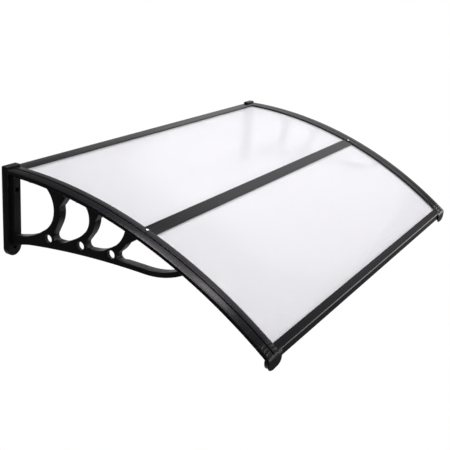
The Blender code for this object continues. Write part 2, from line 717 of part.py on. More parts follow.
def build_bracket(side, label):
    """The moulded wall bracket: plate, post, beam, arm and scrolls, cored from its inner side."""
    centre = side * (HALF_CLEAR + BRACKET_PLACE)
    outer = centre + side * FRAME_DEPTH / 2
    inner = centre - side * FRAME_DEPTH / 2
    windows = window_outlines()
    low, high = sorted((outer, inner))
    bracket = extrusion(f"bracket_{label}", [frame_outline()] + windows, "X", low, high, moulded, FRAME_CHAMFER)

    half = PLATE_WIDTH / 2
    lobe = circle_arc((centre, LOBE_CENTRE), half, 180, 360, 20)
    corners = round_corners([(centre + half, PLATE_RISE), (centre - half, PLATE_RISE),
                             (centre - half, -half), (centre + half, -half)], PLATE_CORNER, steps=5)[:12]
    plate = extrusion(f"plate_{label}", [lobe + corners], "Y", -PLATE_THICKNESS, PLATE_ROUNDING,
                      chamfer=PLATE_ROUNDING, rounds=2)
    cut(plate, box(f"plate_back_{label}", (centre - PLATE_WIDTH, 0, -1), (centre + PLATE_WIDTH, WALL * 5, 1)))
    join(bracket, plate)

    skin = outer - side * SKIN_THICKNESS
    past = inner - side * SKIN_THICKNESS
    coring = extrusion(f"coring_{label}", [coring_outline()], "X", *sorted((skin, past)))
    wide = (outer + side * SKIN_THICKNESS, past - side * SKIN_THICKNESS)
    for i, window in enumerate(windows):
        cut(coring, extrusion(f"window_wall_{label}_{i}", [offset(window, MOULDING_WALL)], "X", *sorted(wide)))
    for i, y in enumerate(RIB_STATIONS):
        cut(coring, box(f"stiffener_{label}_{i}", (min(wide), y - STIFFENER / 2, -0.3),
                        (max(wide), y + STIFFENER / 2, 0)))
    for i, (y, z) in enumerate(BORES):
        boss = BORE_RADIUS + BORE_RIM
        top = outer + side * BORE_RAISE
        cut(coring, cylinder(f"boss_{label}_{i}", (wide[0], y, z), (outer - side * BORE_LENGTH, y, z), boss,
                             sides=BORE_SIDES))
        join(bracket, cylinder(f"rim_{label}_{i}", ((skin + outer) / 2, y, z), (top, y, z), boss, boss - BORE_RAISE / 2,
                               sides=BORE_SIDES))
    cut(bracket, coring)
    for i, (y, z) in enumerate(BORES):
        top = outer + side * BORE_RAISE
        cut(bracket, cylinder(f"bore_{label}_{i}", (wide[0], y, z), (wide[1], y, z), BORE_RADIUS, sides=BORE_SIDES))
        cut(bracket, cylinder(f"bore_edge_{label}_{i}", (top + side * BORE_RAISE, y, z),
                              (top - 2 * side * BORE_RAISE, y, z), BORE_RADIUS + 2 * BORE_RAISE,
                              BORE_RADIUS - BORE_RAISE, sides=BORE_SIDES))
    for name, z, front in (("upper", UPPER_HOLE, POST_FRONT), ("lower", LOBE_CENTRE, -PLATE_THICKNESS)):
        cut(bracket, cylinder(f"{name}_hole_{label}", (centre, 2 * WALL, z), (centre, front - WALL, z),
                              WALL_HOLE_RADIUS, sides=SCREW_SIDES))
        cut(bracket, cylinder(f"{name}_counterbore_{label}", (centre, front + COUNTERBORE_DEPTH, z),
                              (centre, front - WALL, z), COUNTERBORE_RADIUS, sides=SCREW_SIDES))
    return bracket


def outward(angle):
    """The direction square to the curve."""
    return Vector((0, -math.sin(angle), math.cos(angle)))


def add_screw(name, seat, direction, size, depth, through, recessed=False):
    """A pan-head screw and its clearance hole in everything it passes, with a cross recess where it is seen."""
    head, height, shank = size
    profile = [(0, -depth), (shank, -depth), (shank, GAP), (head, GAP), (head, GAP + 0.5 * height),
               (0.7 * head, GAP + height), (0, GAP + height)]
    work = bmesh.new()
    ring = [work.verts.new((r, 0, z)) for r, z in profile]
    edges = [work.edges.new(pair) for pair in zip(ring, ring[1:])]
    bmesh.ops.spin(work, geom=ring + edges, cent=(0, 0, 0), axis=(0, 0, 1), angle=math.tau,
                   steps=SCREW_SIDES, use_merge=True)
    mesh = bpy.data.meshes.new(name)
    work.to_mesh(mesh)
    work.free()
    finish_mesh(mesh)
    screw = add_object(name, mesh, bright)
    place = Matrix.Translation(seat) @ direction.to_track_quat("Z", "Y").to_matrix().to_4x4()
    screw.matrix_world = place @ Matrix.Translation(screw.location)
    for k, (a, b) in enumerate(((0.55, 0.14), (0.14, 0.55)) if recessed else ()):
        recess = box(f"{name}_recess_{k}", (-a * head, -b * head, GAP + 0.5 * height),
                     (a * head, b * head, 2 * height + GAP))
        recess.matrix_world = place
        cut(screw, recess)
    for target in through:
        start = Vector(seat) + direction * 2 * GAP
        end = Vector(seat) - direction * (depth + 2 * GAP)
        cut(target, cylinder(f"{name}_hole_{target.name}", start, end, shank + GAP, sides=SCREW_SIDES))
    return screw


def build_screws(side, label, made):
    """The screws of one side: bars to rail, rail to bracket, cap to rail and cap to front bar."""
    rail = made[f"side_rail_{label}"]
    bracket = made[f"bracket_{label}"]
    cap = made[f"front_cap_{label}"]
    inner_x = side * (HALF_CLEAR + INNER_SCREW)

    angle = (MIDDLE_PLACE + MIDDLE_SCREW_SHIFT) / CURVE_RADIUS
    add_screw(f"middle_bar_screw_{label}", (inner_x, *on_curve(angle, TOP_RISE)), outward(angle), BIG_SCREW,
              TOP_RISE + SHEET_THICKNESS / 2, (rail, made["middle_bar"]), recessed=True)

    angle = angle_at(-(WALL_CHAMBER + 2 * WALL - GAP - TONGUE_WIDTH / 2), FLOOR)
    beside_bracket = side * (HALF_CLEAR + BRACKET_PLACE - FRAME_DEPTH / 2 - SMALL_SCREW[0] - 2 * GAP)
    add_screw(f"back_bar_screw_{label}", (beside_bracket, *on_curve(angle, FLOOR)), -outward(angle),
              SMALL_SCREW, -FLOOR - SHEET_THICKNESS / 2, (rail, made["back_bar"]))

    beam_x = side * (HALF_CLEAR + RAIL_SCREW)
    for i, y in enumerate(RAIL_SCREW_PLACES):
        angle = angle_at(y, BEAM_BOTTOM)
        add_screw(f"bracket_screw_{label}_{i + 1}", (beam_x, *on_curve(angle, BEAM_BOTTOM)), -outward(angle),
                  SMALL_SCREW, 1.5 * WALL - SKIRT_DROP - BEAM_BOTTOM, (bracket, rail))

    middle_height = (BEAM_TOP + BEAM_BOTTOM) / 2
    angle = angle_at(HORN_SCREW_PLACE, middle_height)
    face = side * (HALF_CLEAR + BRACKET_PLACE + FRAME_DEPTH / 2)
    add_screw(f"horn_screw_{label}", (face, *on_curve(angle, middle_height)), Vector((side, 0, 0)), HORN_SCREW,
              FRAME_DEPTH / 3, (bracket,), recessed=True)

    chamber_x = side * (HALF_CLEAR + (CHANNEL_DEPTH + RAIL_WIDTH) / 2)
    angle = FRONT_SLOPE - (CAP_START + CAP_SPIGOT / 2) / CURVE_RADIUS
    add_screw(f"cap_screw_{label}", (chamber_x, *on_curve(angle, -SKIRT_DROP)), -outward(angle), SMALL_SCREW,
              2 * WALL, (rail, cap))

    ridge = beyond_front(RIDGE_REACH, TOP_RISE)
    heel_y = beyond_front(FRONT_SLOT, FLOOR)[0]
    seat = (side * (HALF_CLEAR - BAR_SPIGOT / 2), (ridge[0] + heel_y) / 2, ridge[1] - FACE_HEIGHT)
    add_screw(f"front_bar_screw_{label}", seat, Vector((0, 0, -1)), SMALL_SCREW, 3 * WALL,
              (made["front_bar"], cap))


def shade(thing):
    """Round faces smooth, corners sharp."""
    bpy.context.view_layer.objects.active = thing
    for face in thing.data.polygons:
        face.use_smooth = True
    thing.data.set_sharp_from_angle(angle=math.radians(30))


build_sheets()
made = {"back_bar": build_wall_bar(), "middle_bar": build_middle_bar(), "front_bar": build_front_bar()}
for side, label in SIDES:
    made[f"side_rail_{label}"] = build_rail(side, label)
    made[f"front_cap_{label}"] = build_cap(side, label)
    made[f"bracket_{label}"] = build_bracket(side, label)
for side, label in SIDES:
    build_screws(side, label, made)
for thing in parts.objects:
    shade(thing)
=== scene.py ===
import math

import bpy
import bmesh
from mathutils import Matrix, Vector


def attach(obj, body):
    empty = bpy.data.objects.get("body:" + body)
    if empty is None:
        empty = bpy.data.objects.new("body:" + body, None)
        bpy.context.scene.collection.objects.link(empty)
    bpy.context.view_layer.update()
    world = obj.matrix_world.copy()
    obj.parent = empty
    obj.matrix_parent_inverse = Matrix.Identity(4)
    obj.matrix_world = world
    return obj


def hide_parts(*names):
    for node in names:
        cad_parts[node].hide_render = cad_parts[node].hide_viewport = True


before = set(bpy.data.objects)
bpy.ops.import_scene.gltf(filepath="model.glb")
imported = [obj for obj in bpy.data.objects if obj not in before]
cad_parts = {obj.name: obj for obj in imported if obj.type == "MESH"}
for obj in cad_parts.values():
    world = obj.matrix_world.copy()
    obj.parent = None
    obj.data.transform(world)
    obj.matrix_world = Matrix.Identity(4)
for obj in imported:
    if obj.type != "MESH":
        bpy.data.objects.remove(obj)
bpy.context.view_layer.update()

# Overall form. Lengths are in metres all through
WIDTH = 1.226
RADIUS = 1.223
SLOPE = math.radians(35.33)
GAP = 0.0003
EDGE = 0.0004

# Twin-wall sheet
SHEET = 0.005
PITCH = 0.0056
INSERT = 0.0185
END_ROOM = 0.00035
REAR_ROOM = 0.0014
SINK = 0.00005

# Channel round the sheet's edge
TOP = 0.0046
TOP_WALL = 0.0022
WALL = 0.002
LIP = 0.002
CHANNEL = 0.020

# Side rail. Here its top rises to a wide groove, and in the part it is flat with a narrow one
RAIL = 0.0467
SKIRT = 0.0036
SHOULDER = 0.0016
CROWN = 0.0012
GROOVE = 0.0200
GROOVE_WIDTH = 0.0045
GROOVE_DEPTH = 0.0019

# Wall bar
BAR_DEPTH = 0.0342
CHAMBER = 0.0216
LEG = 0.013

# Middle bar
MIDDLE_PLACE = 0.3888
MIDDLE_WIDTH = 0.0334
MIDDLE_WEB = 0.012
MIDDLE_CAP = 0.0023
MIDDLE_ROUND = 0.0008

# Front bar
RIDGE = 0.0196
FACE = 0.0193
FACE_ROUND = 0.0008
SLOT = 0.015
RIDGE_BEVEL = 0.0011
BEVEL_SLOPE = 1.88

# Corner cap
CAP_START = 0.013
CAP_PROUD = 0.0036
CAP_BEVEL = 0.0055
CAP_EDGE = 0.0012
SLOT_DRAFT = 0.0001
LOBE_RADIUS = 0.0204
LOBE_PLACE = 0.0238
LOBE_THICKNESS = 0.0135
LOBE_DROP = 0.0325
FLANGE = 0.0115
FULLNESS = 0.68
CAP_RIBS = (-0.008, 0.0005, 0.009)
CAP_RIB_WIDTH = 0.0045
CAP_RIB_HEIGHT = 0.0022
RIB_MARGIN = 0.0012

# Wall plate of the bracket, with the radii of its screw holes
BRACKET_PLACE = 0.0193
PLATE_WIDTH = 0.048
PLATE = 0.015
PLATE_RISE = 0.011
PLATE_CORNER = 0.004
PLATE_EDGE = 0.0025
LOBE_CENTRE = -0.202
UPPER_HOLE = -0.0485
HOLE = 0.0035
COUNTERBORE = 0.0062
COUNTERBORE_DEPTH = 0.005

# Frame of the bracket
DEPTH = 0.023
FRAME_EDGE = 0.0009
POST = 0.0115
BEAM = 0.0065
SKIN = 0.004
MOULD = 0.003
CORNER = 0.003
SHORTEST = 0.0007

# Lower arm of the bracket: a long arc that turns up into the beam
ARM_LOW = (-0.430, -0.1496)
ARM_LONG = 2.222
ARM_END = 0.205
ARM = 0.0125
ARM_ROOT = ((-0.0150, -0.1952), (-0.0380, -0.1890), (-0.0520, -0.1842), (-0.0660, -0.1804))
ARM_ROOT_END = -0.080
ARM_START = -0.085
ARM_STEP = 0.0002
TIP = 0.002

# Scrolls of the bracket: an arc on the wall side, an arc in front and a small pocket that ends at a bearing
SCROLLS = (
    {"back": (-0.0906, -0.0688, 0.0675), "front": (-0.1064, -0.0703, 0.0708),
     "pocket": (-0.1665, -0.1330), "horn": ((-0.1752, -0.0560), (-0.1865, -0.0405)), "root": -0.1965},
    {"back": (-0.2178, -0.0650, 0.0497), "front": (-0.2095, -0.0555, 0.0770),
     "pocket": (-0.2667, -0.1255), "horn": ((-0.2852, -0.0625), (-0.2890, -0.0560)), "root": -0.2965},
    {"back": (-0.2984, -0.0470, 0.0747), "front": (-0.2998, -0.0531, 0.0862),
     "pocket": (-0.3598, -0.1290), "horn": ((-0.3754, -0.0948), (-0.3908, -0.0842)), "root": -0.4050},
)
POCKET = 0.0105
POCKET_END = -94.0
WINDOW_HEEL = -0.1675
SWEEPS = (
    ((-0.0420, -0.1642), (-0.0720, -0.1557), (-0.1020, -0.1425)),
    ((-0.1870, -0.1420), (-0.2060, -0.1330), (-0.2400, -0.1120)),
    ((-0.2900, -0.1330), (-0.3110, -0.1265)),
)
JOINS = (-0.1245, -0.2570, -0.3300)

# Bores, and the coring behind the bracket's outer skin
BORES = ((-0.1413, -0.1440), (-0.2430, -0.1340), (-0.3343, -0.1298))
BORE = 0.0105
RIM = 0.0025
RAISE = 0.0008
BORE_LENGTH = 0.0086
RIBS = (-0.060, -0.095, -0.180, -0.280)
RIB = 0.002
CORING_END = -0.350

# Screws: radius and height of the head, radius of the shank. The recess is in shares of the head
JOINT_SCREW = (0.0040, 0.0022, 0.0015)
HIDDEN_SCREW = (0.0034, 0.0022, 0.0015)
SIDE_SCREW = (0.0023, 0.0014, 0.0012)
RECESS_REACH = 0.52
RECESS_HALF_WIDTH = 0.11
RECESS_DEPTH = 0.55
INNER_SCREW = 0.0049
JOINT_SCREW_BEHIND = 0.0035
WALL_SCREW_INSET = 0.0045
RAIL_SCREW = 0.0262
RAIL_SCREW_PLACES = (-0.080, -0.228, -0.460)
HORN_SCREW_PLACE = -0.192
END_SCREW_INSET = 0.0125
FRONT_SCREW_INSET = 0.008

# Places that follow from the sizes
HALF = WIDTH / 2 - RAIL
UNDER = TOP - TOP_WALL
SEAT = -(SHEET + GAP)
FLOOR = SEAT - WALL
BEAM_TOP = FLOOR - GAP
BEAM_LOW = BEAM_TOP - BEAM
POST_FRONT = -(PLATE + POST)
HUB = (-BAR_DEPTH, -RADIUS)
SIDES = ((-1, "left"), (1, "right"))

# Studio
FLOOR_LEVEL = -2.6
FLOOR_SIZE = 2.4
AIM = (0.0, -0.35, -0.05)

# Camera, fitted to the photo's edges. Its shift is in the photo's pixels
PHOTO_WIDTH = 450.0
PHOTO_SHIFT = (22.0, -18.0)
SENSOR = 36.0
LENS = 60.14
CAMERA_PLACE = (-1.8263, -1.3311, 0.5504)
CAMERA_AHEAD = (0.8026, 0.4963, -0.3309)
CAMERA_RISE = (0.2445, 0.2321, 0.9414)

ALONG_X = Matrix(((0, 0, 1, 0), (1, 0, 0, 0), (0, 1, 0, 0), (0, 0, 0, 1)))
ALONG_Y = Matrix(((1, 0, 0, 0), (0, 0, -1, 0), (0, 1, 0, 0), (0, 0, 0, 1)))


def on_curve(angle, height):
    """The (y, z) of a point on the canopy's curve, at a height above the sheet's upper skin."""
    reach = RADIUS + height
    return (HUB[0] - reach * math.sin(angle), HUB[1] + reach * math.cos(angle))


def angle_at(y, height):
    return math.asin((HUB[0] - y) / (RADIUS + height))


def beyond_front(distance, height):
    """The (y, z) of a point straight on from the curve's front end."""
    y, z = on_curve(SLOPE, height)
    return (y - distance * math.cos(SLOPE), z - distance * math.sin(SLOPE))


def outward(angle):
    return Vector((0, -math.sin(angle), math.cos(angle)))


def height_of(point):
    return math.dist(point, HUB) - RADIUS


def span(side, inner, outer):
    """The low and high X of a stretch given outboard of the rail's inner edge."""
    ends = (side * (HALF + inner), side * (HALF + outer))
    return min(ends), max(ends)


def across(side, loop):
    return [(side * (HALF + u), height) for u, height in loop]


def arc(centre, radius, start, end, steps):
    turns = [math.radians(start + (end - start) * i / steps) for i in range(steps + 1)]
    return [(centre[0] + radius * math.cos(t), centre[1] + radius * math.sin(t)) for t in turns]


def bearing(centre, point):
    return math.degrees(math.atan2(point[1] - centre[1], point[0] - centre[0])) % 360.0


def smooth_path(points, steps):
    """A smooth curve through a few points."""
    padded = [points[0]] + list(points) + [points[-1]]
    path = []
    for a, b, c, d in zip(padded, padded[1:], padded[2:], padded[3:]):
        for i in range(steps):
            t = i / steps
            path.append(tuple(
                0.5 * (2 * b[k] + (c[k] - a[k]) * t + (2 * a[k] - 5 * b[k] + 4 * c[k] - d[k]) * t ** 2
                       + (3 * b[k] - a[k] - 3 * c[k] + d[k]) * t ** 3)
                for k in (0, 1)))
    path.append(tuple(points[-1]))
    return path


def area(points):
    return 0.5 * sum(a[0] * b[1] - b[0] * a[1] for a, b in zip(points, points[1:] + points[:1]))


def sides_at(points, i):
    """A corner of a closed outline between the way back and the way on from it."""
    corner = Vector(points[i])
    return Vector(points[i - 1]) - corner, corner, Vector(points[(i + 1) % len(points)]) - corner


def corner_arc(before, corner, after, radius, steps):
    """The points that round a corner off, within its two sides."""
    turn = math.pi - before.angle(after)
    reach = min(radius * math.tan(turn / 2), 0.45 * before.length, 0.45 * after.length)
    start = corner + before.normalized() * reach
    end = corner + after.normalized() * reach
    shares = [k / steps for k in range(steps + 1)]
    return [tuple((1 - t) ** 2 * start + 2 * t * (1 - t) * corner + t ** 2 * end) for t in shares]


def round_corners(points, radius, steps=4, shortest=0.0001, sharpest=26.0):
    """Each sharp corner of a closed outline becomes a small arc."""
    pairs = zip([points[-1]] + points, points)
    kept = [here for before, here in pairs if math.dist(before, here) > shortest]
    rounded = []
    for i, here in enumerate(kept):
        before, corner, after = sides_at(kept, i)
        if math.pi - before.angle(after) < math.radians(sharpest):
            rounded.append(tuple(here))
        else:
            rounded += corner_arc(before, corner, after, radius, steps)
    return rounded


def rounded_strip(points, radii, steps=5):
    """A closed outline whose corners each have their own radius, 0 for a sharp one."""
    rounded = []
    for i, (here, radius) in enumerate(zip(points, radii)):
        if radius == 0:
            rounded.append(tuple(here))
        else:
            rounded += corner_arc(*sides_at(points, i), radius, steps)
    return rounded


def offset(points, distance):
    """A closed outline moved outward by a distance."""
    turn = 1.0 if area(points) > 0 else -1.0
    moved = []
    count = len(points)
    for i, here in enumerate(points):
        before = (Vector(here) - Vector(points[i - 1])).normalized()
        after = (Vector(points[(i + 1) % count]) - Vector(here)).normalized()
        normal = Vector((before.y + after.y, -(before.x + after.x))) * turn
        normal.normalize()
        side = Vector((before.y, -before.x)) * turn
        moved.append(tuple(Vector(here) + normal * distance / max(normal.dot(side), 0.5)))
    return moved


def new_mesh(name, work):
    bmesh.ops.remove_doubles(work, verts=work.verts, dist=0.000002)
    bmesh.ops.recalc_face_normals(work, faces=work.faces)
    mesh = bpy.data.meshes.new(name)
    work.to_mesh(mesh)
    work.free()
    thing = bpy.data.objects.new(name, mesh)
    bpy.context.scene.collection.objects.link(thing)
    return thing


def evaluated_mesh(thing):
    return bpy.data.meshes.new_from_object(thing.evaluated_get(bpy.context.evaluated_depsgraph_get()))


def extrusion(name, loops, along, low, high, chamfer=0.0, rounds=0):
    """An outline, with any holes after it, drawn out along X or Y between two places."""
    data = bpy.data.curves.new(name, "CURVE")
    data.dimensions = "2D"
    data.fill_mode = "BOTH"
    data.extrude = abs(high - low) / 2 - chamfer
    data.bevel_depth = chamfer
    data.bevel_resolution = rounds
    data.offset = -chamfer
    for i, loop in enumerate(loops):
        if (area(loop) > 0) == (i > 0):
            loop = loop[::-1]
        spline = data.splines.new("POLY")
        spline.points.add(len(loop) - 1)
        for point, (a, b) in zip(spline.points, loop):
            point.co = (a, b, 0.0, 1.0)
        spline.use_cyclic_u = True
    drawn = bpy.data.objects.new(name, data)
    bpy.context.scene.collection.objects.link(drawn)
    mesh = evaluated_mesh(drawn)
    bpy.data.objects.remove(drawn, do_unlink=True)
    centre = (low + high) / 2
    if along == "X":
        mesh.transform(Matrix.Translation((centre, 0, 0)) @ ALONG_X)
    else:
        mesh.transform(Matrix.Translation((0, centre, 0)) @ ALONG_Y)
    work = bmesh.new()
    work.from_mesh(mesh)
    return new_mesh(name, work)


def sweep(name, loops, start, end, steps):
    """A section of (x, height) points turned round the canopy's curve, closed at both ends."""
    work = bmesh.new()
    rows = []
    for i in range(steps + 1):
        angle = start + (end - start) * i / steps
        rows.append([[work.verts.new((x, *on_curve(angle, height))) for x, height in loop] for loop in loops])
    for here, after in zip(rows, rows[1:]):
        for ring, following in zip(here, after):
            count = len(ring)
            for k in range(count):
                work.faces.new((ring[k], ring[(k + 1) % count], following[(k + 1) % count], following[k]))
    for row in (rows[0], rows[-1]):
        edges = [work.edges.get((a, b)) for ring in row for a, b in zip(ring, ring[1:] + ring[:1])]
        bmesh.ops.triangle_fill(work, use_beauty=True, edges=edges)
    return new_mesh(name, work)


def cylinder(name, start, end, radius, end_radius=None, sides=48):
    axis = Vector(end) - Vector(start)
    work = bmesh.new()
    bmesh.ops.create_cone(work, cap_ends=True, segments=sides, radius1=radius,
                          radius2=radius if end_radius is None else end_radius, depth=axis.length)
    place = Matrix.Translation((Vector(start) + Vector(end)) / 2)
    work.transform(place @ axis.to_track_quat("Z", "Y").to_matrix().to_4x4())
    return new_mesh(name, work)


def box(name, low, high):
    work = bmesh.new()
    size = Vector(high) - Vector(low)
    centre = (Vector(high) + Vector(low)) / 2
    bmesh.ops.create_cube(work, size=1.0, matrix=Matrix.Translation(centre) @ Matrix.Diagonal((*size, 1.0)))
    return new_mesh(name, work)


def combine(target, other, operation):
    """The Boolean of two solids, kept in the first. The second is used up."""
    step = target.modifiers.new(other.name, "BOOLEAN")
    step.operation = operation
    step.solver = "EXACT"
    step.object = other
    bpy.context.view_layer.update()
    mesh = evaluated_mesh(target)
    target.modifiers.clear()
    old = target.data
    target.data = mesh
    bpy.data.meshes.remove(old)
    bpy.data.objects.remove(other, do_unlink=True)


def cut(target, other):
    combine(target, other, "DIFFERENCE")


def join(target, other):
    combine(target, other, "UNION")


def close_seams(thing):
    """Joins and fills the hairline seams that cuts along a shared wall leave."""
    work = bmesh.new()
    work.from_mesh(thing.data)
    bmesh.ops.remove_doubles(work, verts=work.verts, dist=0.00001)
    bmesh.ops.dissolve_degenerate(work, dist=0.000005, edges=work.edges)
    bmesh.ops.holes_fill(work, edges=[edge for edge in work.edges if len(edge.link_faces) == 1], sides=0)
    work.to_mesh(thing.data)
    work.free()


def rail_section(slot=()):
    """The rail's section: a top that rises to its groove, a tight shoulder, the skirt and the floor."""
    crest = TOP + CROWN
    bed = crest - GROOVE_DEPTH
    past = GROOVE + GROOVE_WIDTH
    leg = CHANNEL + WALL
    corners = [
        ((0, TOP), EDGE), ((GROOVE, crest), EDGE), ((GROOVE, bed), 0), ((past, bed), 0),
        ((past, crest), EDGE), ((RAIL, TOP), SHOULDER), ((RAIL, -SKIRT), 2 * EDGE),
        ((leg, -SKIRT), EDGE), ((leg, FLOOR), EDGE), ((0, FLOOR), EDGE),
    ]
    corners += [(point, 0) for point in slot]
    return rounded_strip([point for point, _ in corners], [radius for _, radius in corners])


def channel():
    return [(0, SEAT), (CHANNEL, SEAT), (CHANNEL, UNDER), (LIP, UNDER - CROWN / 2), (LIP, GAP), (0, GAP)]


def outer_chamber():
    inner = CHANNEL + WALL
    outer = RAIL - WALL
    return [(inner, UNDER), (outer, UNDER), (outer, WALL - SKIRT), (inner, WALL - SKIRT)]


def build_rail(side, label):
    start = angle_at(-(PLATE + GAP), TOP)
    end = SLOPE - CAP_START / RADIUS
    loops = [rail_section(channel()), outer_chamber()]
    return sweep(f"rail_{label}", [across(side, loop) for loop in loops], start, end, 96)


def sheet_section(start, end):
    """Both skins, sunk a little between the webs as a drawn sheet is."""
    count = int((end - start) * RADIUS / PITCH)
    steps = 6
    upper = []
    for i in range(count * steps + 1):
        phase = i / steps
        dip = SINK * math.sin(math.pi * (phase % 1.0)) ** 2
        upper.append((start + (end - start) * phase / count, dip))
    lower = [on_curve(angle, dip - SHEET) for angle, dip in upper[::-1]]
    return [on_curve(angle, -dip) for angle, dip in upper] + lower


def build_sheets():
    middle = MIDDLE_PLACE / RADIUS
    web = (MIDDLE_WEB / 2 + END_ROOM) / RADIUS
    rear = angle_at(-(CHAMBER + 2 * WALL + REAR_ROOM), 0.0)
    front = SLOPE + (SLOT - END_ROOM) / RADIUS
    reach = HALF + INSERT
    return [extrusion("panel_rear", [sheet_section(rear, middle - web)], "X", -reach, reach),
            extrusion("panel_front", [sheet_section(middle + web, front)], "X", -reach, reach)]


def build_wall_bar():
    """The wall bar: a chamber, the sheet's channel and a leg down the wall."""
    back = -(CHAMBER + 2 * WALL)
    front = -BAR_DEPTH
    section = [
        (front, GAP), (front, TOP), (0, TOP), (0, -LEG), (-WALL, -LEG), (-WALL, FLOOR),
        (front, FLOOR), (front, SEAT), (back, SEAT), (back, UNDER), (front + LIP, UNDER), (front + LIP, GAP),
    ]
    radii = (EDGE / 2, EDGE, EDGE, EDGE, EDGE, 0, EDGE, EDGE / 2, 0, 0, 0, EDGE / 2)
    chamber = [(back + WALL, UNDER), (-WALL, UNDER), (-WALL, SEAT), (back + WALL, SEAT)]
    end = HALF - GAP
    bar = extrusion("wall_profile", [rounded_strip(section, radii), chamber], "X", -end, end)
    plate_inner = PLATE_WIDTH / 2 - BRACKET_PLACE
    for side, _ in SIDES:
        low, high = span(side, -(plate_inner + GAP), GAP)
        cut(bar, box("coping", (low, -(PLATE + GAP), -2 * LEG), (high, 2 * WALL, 2 * TOP)))
    return bar


def build_middle_bar():
    """The joint profile: a cap whose face is curved with the sheets, over a web and a foot."""
    middle = MIDDLE_PLACE / RADIUS

    def at(distance, height):
        return on_curve(middle + distance / RADIUS, height)

    half = MIDDLE_WIDTH / 2
    web = MIDDLE_WEB / 2
    rise = GAP + MIDDLE_CAP
    count = 8
    cap = [(-half + 2 * half * k / count, rise) for k in range(count + 1)]
    section = ([(-half, GAP)] + cap + [(half, GAP), (web, GAP), (web, SEAT), (half, SEAT), (half, FLOOR),
               (-half, FLOOR), (-half, SEAT), (-web, SEAT), (-web, GAP)])
    upper = [EDGE, MIDDLE_ROUND] + [0] * (count - 1) + [MIDDLE_ROUND, EDGE]
    radii = upper + [0, 0, EDGE, EDGE, EDGE, EDGE, 0, 0]
    outline = rounded_strip([at(*point) for point in section], radii)
    return extrusion("joint_profile", [outline], "X", GAP - HALF, HALF - GAP)


def front_chamber():
    ridge = beyond_front(RIDGE, TOP)
    face = ridge[0] + WALL
    floor = ridge[1] - FACE + WALL
    back = beyond_front(SLOT, FLOOR)[0] - WALL
    top = beyond_front(SLOT + WALL, UNDER)
    slope = math.tan(SLOPE)
    return [top, (face, top[1] - (top[0] - face) * slope), (face, floor), (back, floor),
            (back, top[1] - (back - top[0]) / slope)]


def build_front_bar():
    """The front bar: the sheet's slot, a chamber, an upright face and a fine bevel along the ridge."""
    ridge = beyond_front(RIDGE, TOP)
    bottom = ridge[1] - FACE
    heel = beyond_front(SLOT, FLOOR)
    crest = (ridge[0] + RIDGE_BEVEL, ridge[1] + RIDGE_BEVEL * math.tan(SLOPE))
    brow = (ridge[0], crest[1] - BEVEL_SLOPE * RIDGE_BEVEL)
    section = [
        beyond_front(0, GAP), beyond_front(0, TOP), crest, brow, (ridge[0], bottom), (heel[0], bottom), heel,
        beyond_front(0, FLOOR), beyond_front(0, SEAT), beyond_front(SLOT, SEAT),
        beyond_front(SLOT, UNDER), beyond_front(LIP, UNDER), beyond_front(LIP, GAP),
    ]
    radii = (EDGE / 2, EDGE, EDGE, EDGE, FACE_ROUND, FACE_ROUND, 0, EDGE, EDGE / 2, 0, 0, 0, EDGE / 2)
    loops = [rounded_strip(section, radii), front_chamber()]
    return extrusion("front_profile", loops, "X", GAP - HALF, HALF - GAP)


def add_lobe(cap, side, centre, face):
    """Cuts the rail's lower corners back to a half round and carries it forward as the lobe."""
    back = face + LOBE_THICKNESS
    left, right = span(side, 0, RAIL)
    below = centre[1] - LOBE_RADIUS - WALL
    corners = [(right + WALL, centre[1]), (right + WALL, below),
               (left - WALL, below), (left - WALL, centre[1])]
    corners += arc(centre, LOBE_RADIUS - GAP / 2, 180, 360, 40)
    cut(cap, extrusion("corners", [corners], "Y", back + GAP, face - 3 * WALL))
    top = centre[1] + LOBE_RADIUS / 4
    lobe = arc(centre, LOBE_RADIUS, 180, 360, 48)
    lobe += [(centre[0] + LOBE_RADIUS, top), (centre[0] - LOBE_RADIUS, top)]
    join(cap, extrusion("lobe", [lobe], "Y", back, face - 2 * WALL, CAP_EDGE, 3))


def add_flange(cap, side, centre, ridge, face):
    """The wider front, a half ellipse filled out a little at its lower corners."""
    reach = (RAIL + FLANGE) / 2
    middle = side * (HALF + (RAIL - FLANGE) / 2)
    flange = []
    for a, b in arc((0, 0), 1.0, 180, 360, 48):
        x = middle + reach * math.copysign(abs(a) ** FULLNESS, a)
        flange.append((x, centre[1] - GAP - LOBE_RADIUS * abs(b) ** FULLNESS))
    flange += [(middle + reach, ridge[1]), (middle - reach, ridge[1])]
    join(cap, extrusion("flange", [flange], "Y", ridge[0] - GAP, face, CAP_EDGE, 3))


def add_ribs(cap, side, angle):
    """A rib on either side of the groove, steep behind and sloped in front."""
    foot = angle + CAP_RIB_WIDTH / RADIUS
    rib = [on_curve(angle, TOP - WALL), on_curve(angle, TOP + CAP_RIB_HEIGHT),
           on_curve(foot, TOP + GAP), on_curve(foot, TOP - WALL)]
    inboard = (RIB_MARGIN, GROOVE - RIB_MARGIN)
    outboard = (GROOVE + GROOVE_WIDTH + RIB_MARGIN, RAIL - 2 * SHOULDER)
    for inner, outer in (inboard, outboard):
        low, high = span(side, inner, outer)
        join(cap, extrusion("rib", [rounded_strip(rib, (0, EDGE, 0, 0), 3)], "X", low, high))


def cut_sheet_slot(cap, side):
    start = -(CAP_START + WALL)
    end = SLOT + GAP
    slot = [beyond_front(start, GAP + SLOT_DRAFT), beyond_front(end, GAP), beyond_front(end, SEAT),
            beyond_front(start, SEAT - SLOT_DRAFT)]
    low, high = span(side, -WALL, CHANNEL)
    cut(cap, extrusion("slot", [slot], "X", low, high))


